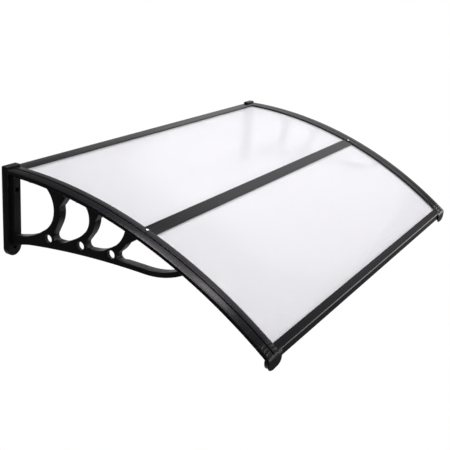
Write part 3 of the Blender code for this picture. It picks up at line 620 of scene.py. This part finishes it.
def trim_front(cap, side, ridge, face, below):
    """Cuts the cap off at its face, with a steep bevel above it."""
    shoulder = (face, ridge[1] - CAP_BEVEL)
    rise = 4 * CAP_BEVEL
    far = face - 4 * RAIL
    crest = shoulder[1] + BEVEL_SLOPE * rise
    trim = [(face, below), shoulder, (face + rise, crest), (far, crest), (far, below)]
    low, high = span(side, -(FLANGE + WALL), RAIL + WALL)
    cut(cap, extrusion("trim", [trim], "X", low, high))


def build_cap(side, label):
    """The moulded corner cap: the rail carried on, a round lobe, a wider front flange and ribs on top."""
    start = SLOPE - (CAP_START - GAP) / RADIUS
    end = SLOPE + 2 * RIDGE / RADIUS
    cap = sweep(f"corner_cap_{label}", [across(side, rail_section())], start, end, 6)
    ridge = beyond_front(RIDGE, TOP)
    face = ridge[0] - CAP_PROUD
    low = ridge[1] - LOBE_DROP
    centre = (side * (HALF + LOBE_PLACE), low + LOBE_RADIUS)
    add_lobe(cap, side, centre, face)
    add_flange(cap, side, centre, ridge, face)
    for place in CAP_RIBS:
        add_ribs(cap, side, SLOPE + place / RADIUS)
    cut_sheet_slot(cap, side)
    trim_front(cap, side, ridge, face, low - WALL)
    return cap


def along_beam(first, last, height, steps):
    """Points between two places Y at one height of the canopy's curve."""
    start = angle_at(first, height)
    end = angle_at(last, height)
    return [on_curve(start + (end - start) * i / steps, height) for i in range(steps + 1)]


def beam_bearing(centre, radius):
    """Where a circle meets the beam's underside, found by halving."""
    low, high = 90.0, 225.0
    for _ in range(40):
        middle = (low + high) / 2
        if height_of(arc(centre, radius, middle, middle, 1)[0]) > BEAM_LOW:
            low = middle
        else:
            high = middle
    return high


def cross_tangent(centre, radius, other, other_radius):
    """The bearings where a line that touches two circles on opposite sides leaves one and meets the other."""
    reach = math.dist(centre, other)
    lean = math.degrees(math.acos(min(1.0, (radius + other_radius) / reach)))
    leave = bearing(centre, other) - lean
    return leave, leave - 180.0


def arm_low(y):
    """The height of the arm's lower edge."""
    away = y - ARM_LOW[0]
    if away > 0:
        return ARM_LOW[1] - ARM_LONG + math.sqrt(ARM_LONG ** 2 - away ** 2)
    return ARM_LOW[1] + ARM_END - math.sqrt(ARM_END ** 2 - away ** 2)


def arm_edge(y, rise):
    """The height of a line that runs along the arm at a nearly even distance above its lower edge."""
    away = min(0.0, y - ARM_LOW[0])
    return arm_low(y) + rise / math.sqrt(1 - (away / ARM_END) ** 2)


def arm_line(start, limit, rise, steps):
    """That line from a place Y out to where it reaches a height of the canopy's curve."""
    end = start
    while height_of((end, arm_edge(end, rise))) <= limit:
        end -= ARM_STEP
    ys = [start + (end - start) * i / steps for i in range(steps + 1)]
    return [(y, arm_edge(y, rise)) for y in ys]


def frame_outline():
    heel = -PLATE / 2
    root_end = (ARM_ROOT_END, arm_low(ARM_ROOT_END))
    root = [(heel, ARM_ROOT[0][1])] + smooth_path((*ARM_ROOT, root_end), 6)
    lower = arm_line(ARM_START, BEAM_TOP - TIP, 0.0, 72)
    return root + lower + along_beam(lower[-1][0] - TIP, heel, BEAM_TOP, 64)


def front_side(scroll, fine):
    """A scroll's front side, from the beam round its horn and down into the pocket."""
    centre, radius = scroll["front"][:2], scroll["front"][2]
    near, far = scroll["horn"]
    root = (scroll["root"], on_curve(angle_at(scroll["root"], BEAM_LOW), BEAM_LOW)[1])
    leave, enter = cross_tangent(centre, radius, scroll["pocket"], POCKET)
    sweep_down = arc(centre, radius, bearing(centre, near), leave, 6 * fine)
    pocket = arc(scroll["pocket"], POCKET, enter, POCKET_END, 7 * fine)
    return smooth_path((root, far, near), 2 * fine)[:-1] + sweep_down + pocket


def window_outlines(fine):
    """The frame's four openings, with that many times the points that their shape needs."""
    outlines = []
    start = [(POST_FRONT, WINDOW_HEEL)]
    first = POST_FRONT
    for scroll, sweep_points, join_y in zip(SCROLLS, SWEEPS, JOINS):
        centre, radius = scroll["back"][:2], scroll["back"][2]
        meet = (join_y, centre[1] - math.sqrt(radius ** 2 - (join_y - centre[0]) ** 2))
        rise = arc(centre, radius, bearing(centre, meet), beam_bearing(centre, radius), 9 * fine)
        path = smooth_path((start[-1], *sweep_points, meet), 2 * fine)[1:-1]
        roof = along_beam(rise[-1][0], first, BEAM_LOW, 3 * fine)
        corner = [roof[-1]] if first == POST_FRONT else []
        outlines.append(start + path + rise + roof[1:-1] + corner)
        start = front_side(scroll, fine)
        first = scroll["root"]
    arm = arm_line(start[-1][0] - POCKET, BEAM_LOW, ARM, 10 * fine)
    roof = along_beam(arm[-1][0], first, BEAM_LOW, 4 * fine)
    outlines.append(start + arm + roof[1:-1])
    return [round_corners(outline, CORNER, 2 * fine, SHORTEST / fine) for outline in outlines]


def coring_outline():
    back = POST_FRONT - MOULD
    steps = 8
    ys = (ARM_ROOT_END + (CORING_END - ARM_ROOT_END) * i / steps for i in range(steps + 1))
    floor = [(y, arm_low(y) + MOULD) for y in ys]
    root = [(back, ARM_ROOT[1][1] + 2 * MOULD), (ARM_ROOT[3][0], ARM_ROOT[3][1] + MOULD)]
    return root + floor + along_beam(SCROLLS[2]["root"] - MOULD, back, BEAM_LOW, 10)


def build_plate(centre):
    """The wall plate: square above, a half round below, its front edges rounded over and its back flat."""
    half = PLATE_WIDTH / 2
    steps = 10
    lobe = arc((centre, LOBE_CENTRE), half, 180, 360, 64)
    square = [(centre + half, PLATE_RISE), (centre - half, PLATE_RISE), (centre - half, -half),
              (centre + half, -half)]
    upper_corners = round_corners(square, PLATE_CORNER, steps)[:2 * (steps + 1)]
    plate = extrusion("plate", [lobe + upper_corners], "Y", -PLATE, PLATE_EDGE, PLATE_EDGE, 6)
    cut(plate, box("plate_back", (centre - PLATE_WIDTH, 0, -1), (centre + PLATE_WIDTH, 5 * WALL, 1)))
    return plate


def build_coring(side, outer, inner, beyond):
    """The hollow behind the outer skin, less the walls round the windows, the ribs and the bosses."""
    ends = sorted((outer - side * SKIN, inner - side * SKIN))
    coring = extrusion("coring", [coring_outline()], "X", *ends)
    for window in window_outlines(1):
        cut(coring, extrusion("window_wall", [offset(window, MOULD)], "X", *sorted(beyond)))
    for y in RIBS:
        low = (min(beyond), y - RIB / 2, -0.3)
        cut(coring, box("stiffener", low, (max(beyond), y + RIB / 2, 0)))
    for y, z in BORES:
        end = (outer - side * BORE_LENGTH, y, z)
        cut(coring, cylinder("boss", (beyond[0], y, z), end, BORE + RIM, sides=64))
    return coring


def build_bracket(side, label):
    """The moulded bracket with rounded edges: plate, frame and scrolls, coring, bosses and screw holes."""
    centre = side * (HALF + BRACKET_PLACE)
    outer = centre + side * DEPTH / 2
    inner = centre - side * DEPTH / 2
    beyond = (outer + side * SKIN, inner - side * SKIN - side * SKIN)
    loops = [frame_outline()] + window_outlines(3)
    bracket = extrusion(f"scroll_bracket_{label}", loops, "X", *sorted((outer, inner)), FRAME_EDGE, 3)
    join(bracket, build_plate(centre))
    top = outer + side * RAISE
    boss = BORE + RIM
    rim_root = (outer - side * SKIN + outer) / 2
    for y, z in BORES:
        join(bracket, cylinder("rim", (rim_root, y, z), (top, y, z), boss, boss - RAISE / 2, 64))
    cut(bracket, build_coring(side, outer, inner, beyond))
    for y, z in BORES:
        cut(bracket, cylinder("bore", (beyond[0], y, z), (beyond[1], y, z), BORE, sides=64))
        cut(bracket, cylinder("bore_edge", (top + side * RAISE, y, z), (top - 2 * side * RAISE, y, z),
                              BORE + 2 * RAISE, BORE - RAISE, 64))
    close_seams(bracket)
    for z, front in ((UPPER_HOLE, POST_FRONT), (LOBE_CENTRE, -PLATE)):
        end = (centre, front - WALL, z)
        cut(bracket, cylinder("hole", (centre, 2 * WALL, z), end, HOLE, sides=32))
        seat = (centre, front + COUNTERBORE_DEPTH, z)
        cut(bracket, cylinder("counterbore", seat, end, COUNTERBORE, sides=40))
    close_seams(bracket)
    return bracket


def build_screw(name, seat, direction, size, length):
    """A domed pan head with a cross recess, turned from its profile."""
    head, height, shank = size
    dome = [(head * math.cos(t), GAP + 0.35 * height + 0.65 * height * math.sin(t))
            for t in (math.pi / 2 * k / 8 for k in range(9))]
    stem = [(0, -length), (shank, -length), (shank, GAP)]
    profile = stem + [(0.97 * head, GAP), (head, GAP + 0.05 * height)] + dome
    work = bmesh.new()
    ring = [work.verts.new((r if r > 1e-6 else 0.0, 0, z)) for r, z in profile]
    edges = [work.edges.new(pair) for pair in zip(ring, ring[1:])]
    bmesh.ops.spin(work, geom=ring + edges, cent=(0, 0, 0), axis=(0, 0, 1), angle=math.tau, steps=40,
                   use_merge=True)
    screw = new_mesh(name, work)
    top = GAP + height
    for a, b in ((RECESS_REACH, RECESS_HALF_WIDTH), (RECESS_HALF_WIDTH, RECESS_REACH)):
        low = (-a * head, -b * head, top - RECESS_DEPTH * height)
        cut(screw, box("recess", low, (a * head, b * head, top + height)))
    screw.data.transform(Matrix.Translation(seat) @ direction.to_track_quat("Z", "Y").to_matrix().to_4x4())
    return screw


def build_screws(side, label):
    """Each screw of one side, with the name that it goes by."""
    screws = []

    def add(name, x, place, direction, size, length):
        screws.append((build_screw(f"{name}_{label}", (side * x, *place), direction, size, length), name))

    angle = (MIDDLE_PLACE - JOINT_SCREW_BEHIND) / RADIUS
    add("joint_screw", HALF + INNER_SCREW, on_curve(angle, TOP), outward(angle), JOINT_SCREW, TOP + SHEET / 2)
    angle = angle_at(-(CHAMBER + 2 * WALL - GAP - WALL_SCREW_INSET), FLOOR)
    beside = HALF + BRACKET_PLACE - DEPTH / 2 - HIDDEN_SCREW[0] - 2 * GAP
    add("wall_bar_screw", beside, on_curve(angle, FLOOR), -outward(angle), HIDDEN_SCREW, -FLOOR - SHEET / 2)
    for i, y in enumerate(RAIL_SCREW_PLACES):
        angle = angle_at(y, BEAM_LOW)
        add(f"beam_screw_{i + 1}", HALF + RAIL_SCREW, on_curve(angle, BEAM_LOW), -outward(angle),
            HIDDEN_SCREW, 1.5 * WALL - SKIRT - BEAM_LOW)
    height = (BEAM_TOP + BEAM_LOW) / 2
    angle = angle_at(HORN_SCREW_PLACE, height)
    add("side_screw", HALF + BRACKET_PLACE + DEPTH / 2, on_curve(angle, height), Vector((side, 0, 0)),
        SIDE_SCREW, DEPTH / 3)
    angle = SLOPE - (CAP_START + END_SCREW_INSET) / RADIUS
    add("rail_end_screw", HALF + (CHANNEL + RAIL) / 2, on_curve(angle, -SKIRT), -outward(angle), HIDDEN_SCREW,
        2 * WALL)
    ridge = beyond_front(RIDGE, TOP)
    heel = beyond_front(SLOT, FLOOR)[0]
    add("front_screw", HALF - FRONT_SCREW_INSET, ((ridge[0] + heel) / 2, ridge[1] - FACE), Vector((0, 0, -1)),
        HIDDEN_SCREW, 3 * WALL)
    return screws


def shade(thing, angle=30.0):
    for face in thing.data.polygons:
        face.use_smooth = True
    thing.data.set_sharp_from_angle(angle=math.radians(angle))


class Nodes:
    """A short way to write a node tree."""

    def __init__(self, tree):
        self.tree = tree
        self.place = tree.nodes.new("ShaderNodeTexCoord").outputs["Object"]

    def add(self, kind, inputs=None, **settings):
        node = self.tree.nodes.new(kind)
        for key, value in settings.items():
            setattr(node, key, value)
        for key, value in (inputs or {}).items():
            self.set(node.inputs[key], value)
        return node

    def set(self, socket, value):
        if isinstance(value, bpy.types.NodeSocket):
            self.tree.links.new(value, socket)
        else:
            socket.default_value = value

    def noise(self, scale, detail=2.0, stretch=(1, 1, 1), roughness=0.5):
        scaled = self.vector("MULTIPLY", self.place, stretch)
        return self.add("ShaderNodeTexNoise", {"Vector": scaled, "Scale": scale, "Detail": detail,
                                               "Roughness": roughness}).outputs["Fac"]

    def ramp(self, value, low, high, to_low, to_high):
        return self.add("ShaderNodeMapRange", {"Value": value, "From Min": low, "From Max": high,
                                               "To Min": to_low, "To Max": to_high}).outputs["Result"]

    def mix(self, share, first, second):
        node = self.add("ShaderNodeMix", data_type="RGBA")
        self.set(node.inputs["Factor"], share)
        self.set(node.inputs["A"], first)
        self.set(node.inputs["B"], second)
        return next(o for o in node.outputs if o.type == "RGBA")

    def math(self, operation, first, second=0.0):
        return self.add("ShaderNodeMath", {0: first, 1: second}, operation=operation).outputs[0]

    def vector(self, operation, first, second=(0, 0, 0)):
        """A vector's maths, whose result is a number for a length or a dot product."""
        node = self.add("ShaderNodeVectorMath", {0: first, 1: second}, operation=operation)
        return node.outputs["Value" if operation in ("LENGTH", "DOT_PRODUCT") else "Vector"]

    def blend(self, share, first, second):
        """A mix of two shaders."""
        return self.add("ShaderNodeMixShader", {0: share, 1: first.outputs[0], 2: second.outputs[0]})

    def bump(self, height, strength, distance, normal=None):
        node = self.add("ShaderNodeBump", {"Height": height, "Strength": strength, "Distance": distance})
        if normal is not None:
            self.set(node.inputs["Normal"], normal)
        return node.outputs["Normal"]

    def edge_wear(self, radius, low, high):
        """High along edges, inner ones too, from how far a rounded normal leans from the true one."""
        rounded = self.add("ShaderNodeBevel", {"Radius": radius}, samples=6).outputs["Normal"]
        true = self.add("ShaderNodeNewGeometry").outputs["Normal"]
        return self.ramp(self.vector("DOT_PRODUCT", rounded, true), 1.0 - low, 1.0 - high, 0.0, 1.0)


class Finish(Nodes):
    """A new material, its node tree and its Principled shader."""

    def __init__(self, name):
        self.material = bpy.data.materials.new(name)
        self.material.use_nodes = True
        super().__init__(self.material.node_tree)
        self.shader = self.tree.nodes["Principled BSDF"]

    def give(self, name, value):
        """Sets one of the Principled shader's own sockets."""
        self.set(self.shader.inputs[name], value)

    def show(self, shader):
        """Makes another shader the material's surface."""
        output = next(n for n in self.tree.nodes if n.type == "OUTPUT_MATERIAL")
        self.set(output.inputs["Surface"], shader.outputs[0])

    def rough(self, coarse, low, high, fine, swing):
        """Roughness that drifts with one noise and is broken up by a finer one."""
        drift = self.ramp(coarse, 0.3, 0.7, low, high)
        self.give("Roughness", self.math("ADD", drift, self.ramp(fine, 0.3, 0.7, -swing, swing)))


def coated_aluminium():
    """Near-black coated extrusion: fine drawn lines, a soft cloudy tint and slightly paler edges."""
    m = Finish("coated_aluminium")
    cloud = m.noise(9.0, 3.0)
    drawn = m.noise(260.0, 3.0, (0.02, 1.0, 1.0))
    grain = m.noise(1400.0, 2.0)
    cloudy = m.ramp(cloud, 0.35, 0.65, 0.0, 1.0)
    tint = m.mix(cloudy, (0.0062, 0.0054, 0.0066, 1), (0.0048, 0.0044, 0.0054, 1))
    worn = m.math("MULTIPLY", m.edge_wear(0.0006, 0.02, 0.25), 0.3)
    m.give("Base Color", m.mix(worn, tint, (0.045, 0.041, 0.047, 1)))
    m.rough(drawn, 0.20, 0.27, grain, 0.02)
    m.give("Specular IOR Level", 0.5)
    m.give("Specular Tint", (0.97, 0.92, 1.0, 1))
    m.give("Normal", m.bump(drawn, 0.10, 0.00006, m.bump(grain, 0.12, 0.00004)))
    return m.material


def moulded_plastic():
    """Black polypropylene with a fine spark-eroded grain, faint flow clouds and edges rubbed paler."""
    m = Finish("moulded_plastic")
    cloud = m.noise(14.0, 4.0)
    grain = m.noise(1900.0, 2.0)
    fine = m.noise(5200.0, 1.0)
    cloudy = m.ramp(cloud, 0.3, 0.7, 0.0, 1.0)
    tint = m.mix(cloudy, (0.0050, 0.0050, 0.0054, 1), (0.0072, 0.0070, 0.0075, 1))
    worn = m.math("MULTIPLY", m.edge_wear(0.0008, 0.03, 0.3), 0.4)
    m.give("Base Color", m.mix(worn, tint, (0.026, 0.026, 0.027, 1)))
    m.rough(cloud, 0.28, 0.36, grain, 0.03)
    m.give("Specular IOR Level", 0.5)
    m.give("Normal", m.bump(fine, 0.10, 0.00002, m.bump(grain, 0.16, 0.00005)))
    return m.material


def bright_steel():
    """Zinc-plated steel with a fine grain and small stains."""
    m = Finish("bright_steel")
    stain = m.noise(700.0, 3.0)
    fine = m.noise(6000.0, 2.0)
    stained = m.ramp(stain, 0.4, 0.7, 0.0, 1.0)
    m.give("Base Color", m.mix(stained, (0.90, 0.90, 0.91, 1), (0.74, 0.73, 0.72, 1)))
    m.rough(stain, 0.30, 0.42, fine, 0.03)
    m.give("Metallic", 1.0)
    m.give("Normal", m.bump(fine, 0.08, 0.00002))
    return m.material


def milky_polycarbonate():
    """Opal twin-wall sheet: light scatters in it and passes through it, its webs show as faint lines,
    and a painted dark band beside each rail stands in for the rail's shade and reflection in the sheet."""
    m = Finish("milky_polycarbonate")
    split = m.add("ShaderNodeSeparateXYZ", {0: m.place})
    y = m.math("SUBTRACT", HUB[0], split.outputs["Y"])
    z = m.math("SUBTRACT", split.outputs["Z"], HUB[1])
    angle = m.math("ARCTAN2", y, z)
    phase = m.math("FRACT", m.math("MULTIPLY", angle, RADIUS / PITCH))
    away = m.math("ABSOLUTE", m.math("SUBTRACT", phase, 0.5))
    web = m.ramp(away, 0.34, 0.48, 0.0, 1.0)
    haze = m.ramp(m.noise(5.0, 3.0), 0.35, 0.65, 0.0, 1.0)
    speck = m.noise(420.0, 2.0)
    tint = m.mix(haze, (0.888, 0.876, 0.902, 1), (0.902, 0.892, 0.914, 1))
    lined = m.mix(m.math("MULTIPLY", web, 0.16), tint, (0.74, 0.72, 0.76, 1))
    # Painted shade and reflection: the sheet's colour goes nearly black in a band just inside each rail's
    # edge
    rim = m.ramp(m.math("ABSOLUTE", split.outputs["X"]), HALF - 0.009, HALF - 0.003, 0.0, 0.92)
    m.give("Base Color", m.mix(rim, lined, (0.02, 0.02, 0.02, 1)))
    m.give("Roughness", m.ramp(speck, 0.3, 0.7, 0.07, 0.12))
    m.give("IOR", 1.8)
    m.give("Specular IOR Level", 0.9)
    m.give("Normal", m.bump(speck, 0.04, 0.00003))
    translucent = m.add("ShaderNodeBsdfTranslucent", {"Color": (0.94, 0.93, 0.96, 1)})
    clear = m.add("ShaderNodeBsdfRefraction",
                  {"Color": (0.96, 0.96, 0.98, 1), "Roughness": 0.30, "IOR": 1.07})
    scatter = m.blend(0.24, m.shader, translucent)
    m.show(m.blend(m.ramp(web, 0.0, 1.0, 0.36, 0.27), scatter, clear))
    return m.material


def dress(thing, finish, slot, *nodes):
    thing.data.materials.clear()
    thing.data.materials.append(finish)
    shade(thing)
    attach(thing, "root")
    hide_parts(*nodes)


def build_object():
    coated = coated_aluminium()
    moulded = moulded_plastic()
    steel = bright_steel()
    milky = milky_polycarbonate()
    rear, front = build_sheets()
    dress(rear, milky, "milky_polycarbonate", "sheet_rear")
    dress(front, milky, "milky_polycarbonate", "sheet_front")
    dress(build_wall_bar(), coated, "coated_aluminium", "back_bar")
    dress(build_middle_bar(), coated, "coated_aluminium", "middle_bar")
    dress(build_front_bar(), coated, "coated_aluminium", "front_bar")
    nodes = {"joint_screw": "middle_bar_screw_{}", "wall_bar_screw": "back_bar_screw_{}",
             "beam_screw_1": "bracket_screw_{}_1", "beam_screw_2": "bracket_screw_{}_2",
             "beam_screw_3": "bracket_screw_{}_3", "side_screw": "horn_screw_{}",
             "rail_end_screw": "cap_screw_{}", "front_screw": "front_bar_screw_{}"}
    for side, label in SIDES:
        dress(build_rail(side, label), coated, "coated_aluminium", f"side_rail_{label}")
        dress(build_cap(side, label), moulded, "moulded_black", f"front_cap_{label}")
        dress(build_bracket(side, label), moulded, "moulded_black", f"bracket_{label}")
        for screw, name in build_screws(side, label):
            dress(screw, steel, "bright_steel", nodes[name].format(label))


def build_floor():
    """A pale floor well below the canopy, fading into the white room at its rim.
    Camera and transmission rays see it nearly white with a faint shadow, and glossy rays see it dimmer."""
    work = bmesh.new()
    below = Matrix.Translation((0, 0, FLOOR_LEVEL))
    bmesh.ops.create_grid(work, x_segments=24, y_segments=24, size=FLOOR_SIZE, matrix=below)
    floor = new_mesh("floor", work)
    m = Finish("pale_floor")
    m.give("Base Color", m.mix(m.noise(3.0, 3.0), (0.82, 0.82, 0.82, 1), (0.85, 0.85, 0.85, 1)))
    m.give("Roughness", 0.9)
    floor.data.materials.append(m.material)
    path = m.add("ShaderNodeLightPath")
    white = m.add("ShaderNodeEmission", {"Color": (1, 1, 1, 1)})
    m.set(white.inputs["Strength"], m.ramp(path.outputs["Is Glossy Ray"], 0.0, 1.0, 1.0, 0.4))
    away = m.vector("LENGTH", m.vector("MULTIPLY", m.place, (1, 1, 0)))
    seen = m.math("MAXIMUM", path.outputs["Is Camera Ray"], path.outputs["Is Transmission Ray"])
    seen = m.math("MINIMUM", m.math("ADD", seen, path.outputs["Is Glossy Ray"]), 1.0)
    share = m.math("MULTIPLY", seen, m.ramp(away, 0.9, 0.8 * FLOOR_SIZE, 0.85, 1.0))
    m.show(m.blend(share, m.shader, white))


def build_world():
    """White for camera and transmission rays, an even half light for diffuse ones.
    Glossy rays see a dim room with a pale band along its far horizon."""
    world = bpy.data.worlds.new("studio")
    bpy.context.scene.world = world
    world.use_nodes = True
    world.node_tree.nodes.clear()
    m = Nodes(world.node_tree)
    direction = m.place.node.outputs["Generated"]
    height = m.add("ShaderNodeSeparateXYZ", {0: direction}).outputs["Z"]
    side = m.ramp(m.vector("DOT_PRODUCT", direction, (0.85, 0.53, 0.0)), -0.2, 0.6, 0.0, 1.0)
    band = m.math("EXPONENT", m.math("MULTIPLY", m.math("MULTIPLY", height, height), -22.0))
    far_band = m.math("MULTIPLY", m.math("MULTIPLY", band, side), 0.60)
    room = m.math("ADD", far_band, m.ramp(side, 0.0, 1.0, 0.02, 0.08))
    path = m.add("ShaderNodeLightPath")
    seen = m.math("MAXIMUM", path.outputs["Is Camera Ray"], path.outputs["Is Transmission Ray"])
    dim, pale, white = (m.add("ShaderNodeBackground", {"Color": (1, 1, 1, 1), "Strength": strength})
                        for strength in (0.55, room, 1.0))
    either = m.blend(path.outputs["Is Glossy Ray"], dim, pale)
    m.add("ShaderNodeOutputWorld", {"Surface": m.blend(seen, either, white).outputs[0]})


def add_lamp(name, place, aim, size, brightness, shape="ELLIPSE", across_axis=None):
    """A soft lamp of an even brightness, turned towards a point."""
    data = bpy.data.lights.new(name, "AREA")
    data.shape = shape
    data.size, data.size_y = size
    share = math.pi / 4 if shape == "ELLIPSE" else 1.0
    data.energy = brightness * math.pi * size[0] * size[1] * share
    lamp = bpy.data.objects.new(name, data)
    bpy.context.scene.collection.objects.link(lamp)
    back = (Vector(place) - Vector(aim)).normalized()
    if across_axis is None:
        lamp.rotation_euler = back.to_track_quat("Z", "Y").to_euler()
    else:
        axis = Vector(across_axis)
        axis = (axis - back * axis.dot(back)).normalized()
        lamp.rotation_euler = Matrix((axis, back.cross(axis), back)).transposed().to_euler()
    lamp.location = place
    lamp.visible_camera = False


def build_lights():
    """A round softbox with its halo, which the sheets mirror, an overhead lamp, and lamps for the frame."""
    wide = (0.144, -0.988, 0.060)
    near_rail = (-0.58, -0.35, -0.05)
    add_lamp("round_softbox", (2.306, 0.055, 1.069), AIM, (3.01, 1.34), 0.41, across_axis=wide)
    add_lamp("softbox_halo", (2.536, 0.085, 1.181), AIM, (4.5, 1.72), 0.19, across_axis=wide)
    add_lamp("upper_panel", (1.35, -0.42, 2.25), near_rail, (1.3, 0.9), 1.0, across_axis=(0, 1, 0))
    add_lamp("accent", (1.53, -1.02, 1.93), (-0.58, -0.45, -0.10), (0.60, 0.5), 4.8, across_axis=(0, 1, 0))
    add_lamp("low_strip", (2.45, -2.10, -0.12), (0, -0.78, -0.25), (1.7, 0.8), 1.9, "RECTANGLE",
             (0.41, 0.91, 0))
    add_lamp("overhead", (0.35, -0.45, 2.55), AIM, (1.4, 1.4), 9.1, shape="RECTANGLE")


def build_camera():
    """Where the photograph was taken from."""
    data = bpy.data.cameras.new("camera")
    data.sensor_width = SENSOR
    data.lens = LENS
    data.shift_x, data.shift_y = (shift / PHOTO_WIDTH for shift in PHOTO_SHIFT)
    camera = bpy.data.objects.new("camera", data)
    bpy.context.scene.collection.objects.link(camera)
    ahead = Vector(CAMERA_AHEAD).normalized()
    right = ahead.cross(Vector(CAMERA_RISE)).normalized()
    turn = Matrix((right, right.cross(ahead), -ahead)).transposed().to_4x4()
    camera.matrix_world = Matrix.Translation(CAMERA_PLACE) @ turn
    bpy.context.scene.camera = camera


build_object()
build_floor()
build_world()
build_lights()
build_camera()
bpy.context.scene.view_settings.view_transform = "Standard"
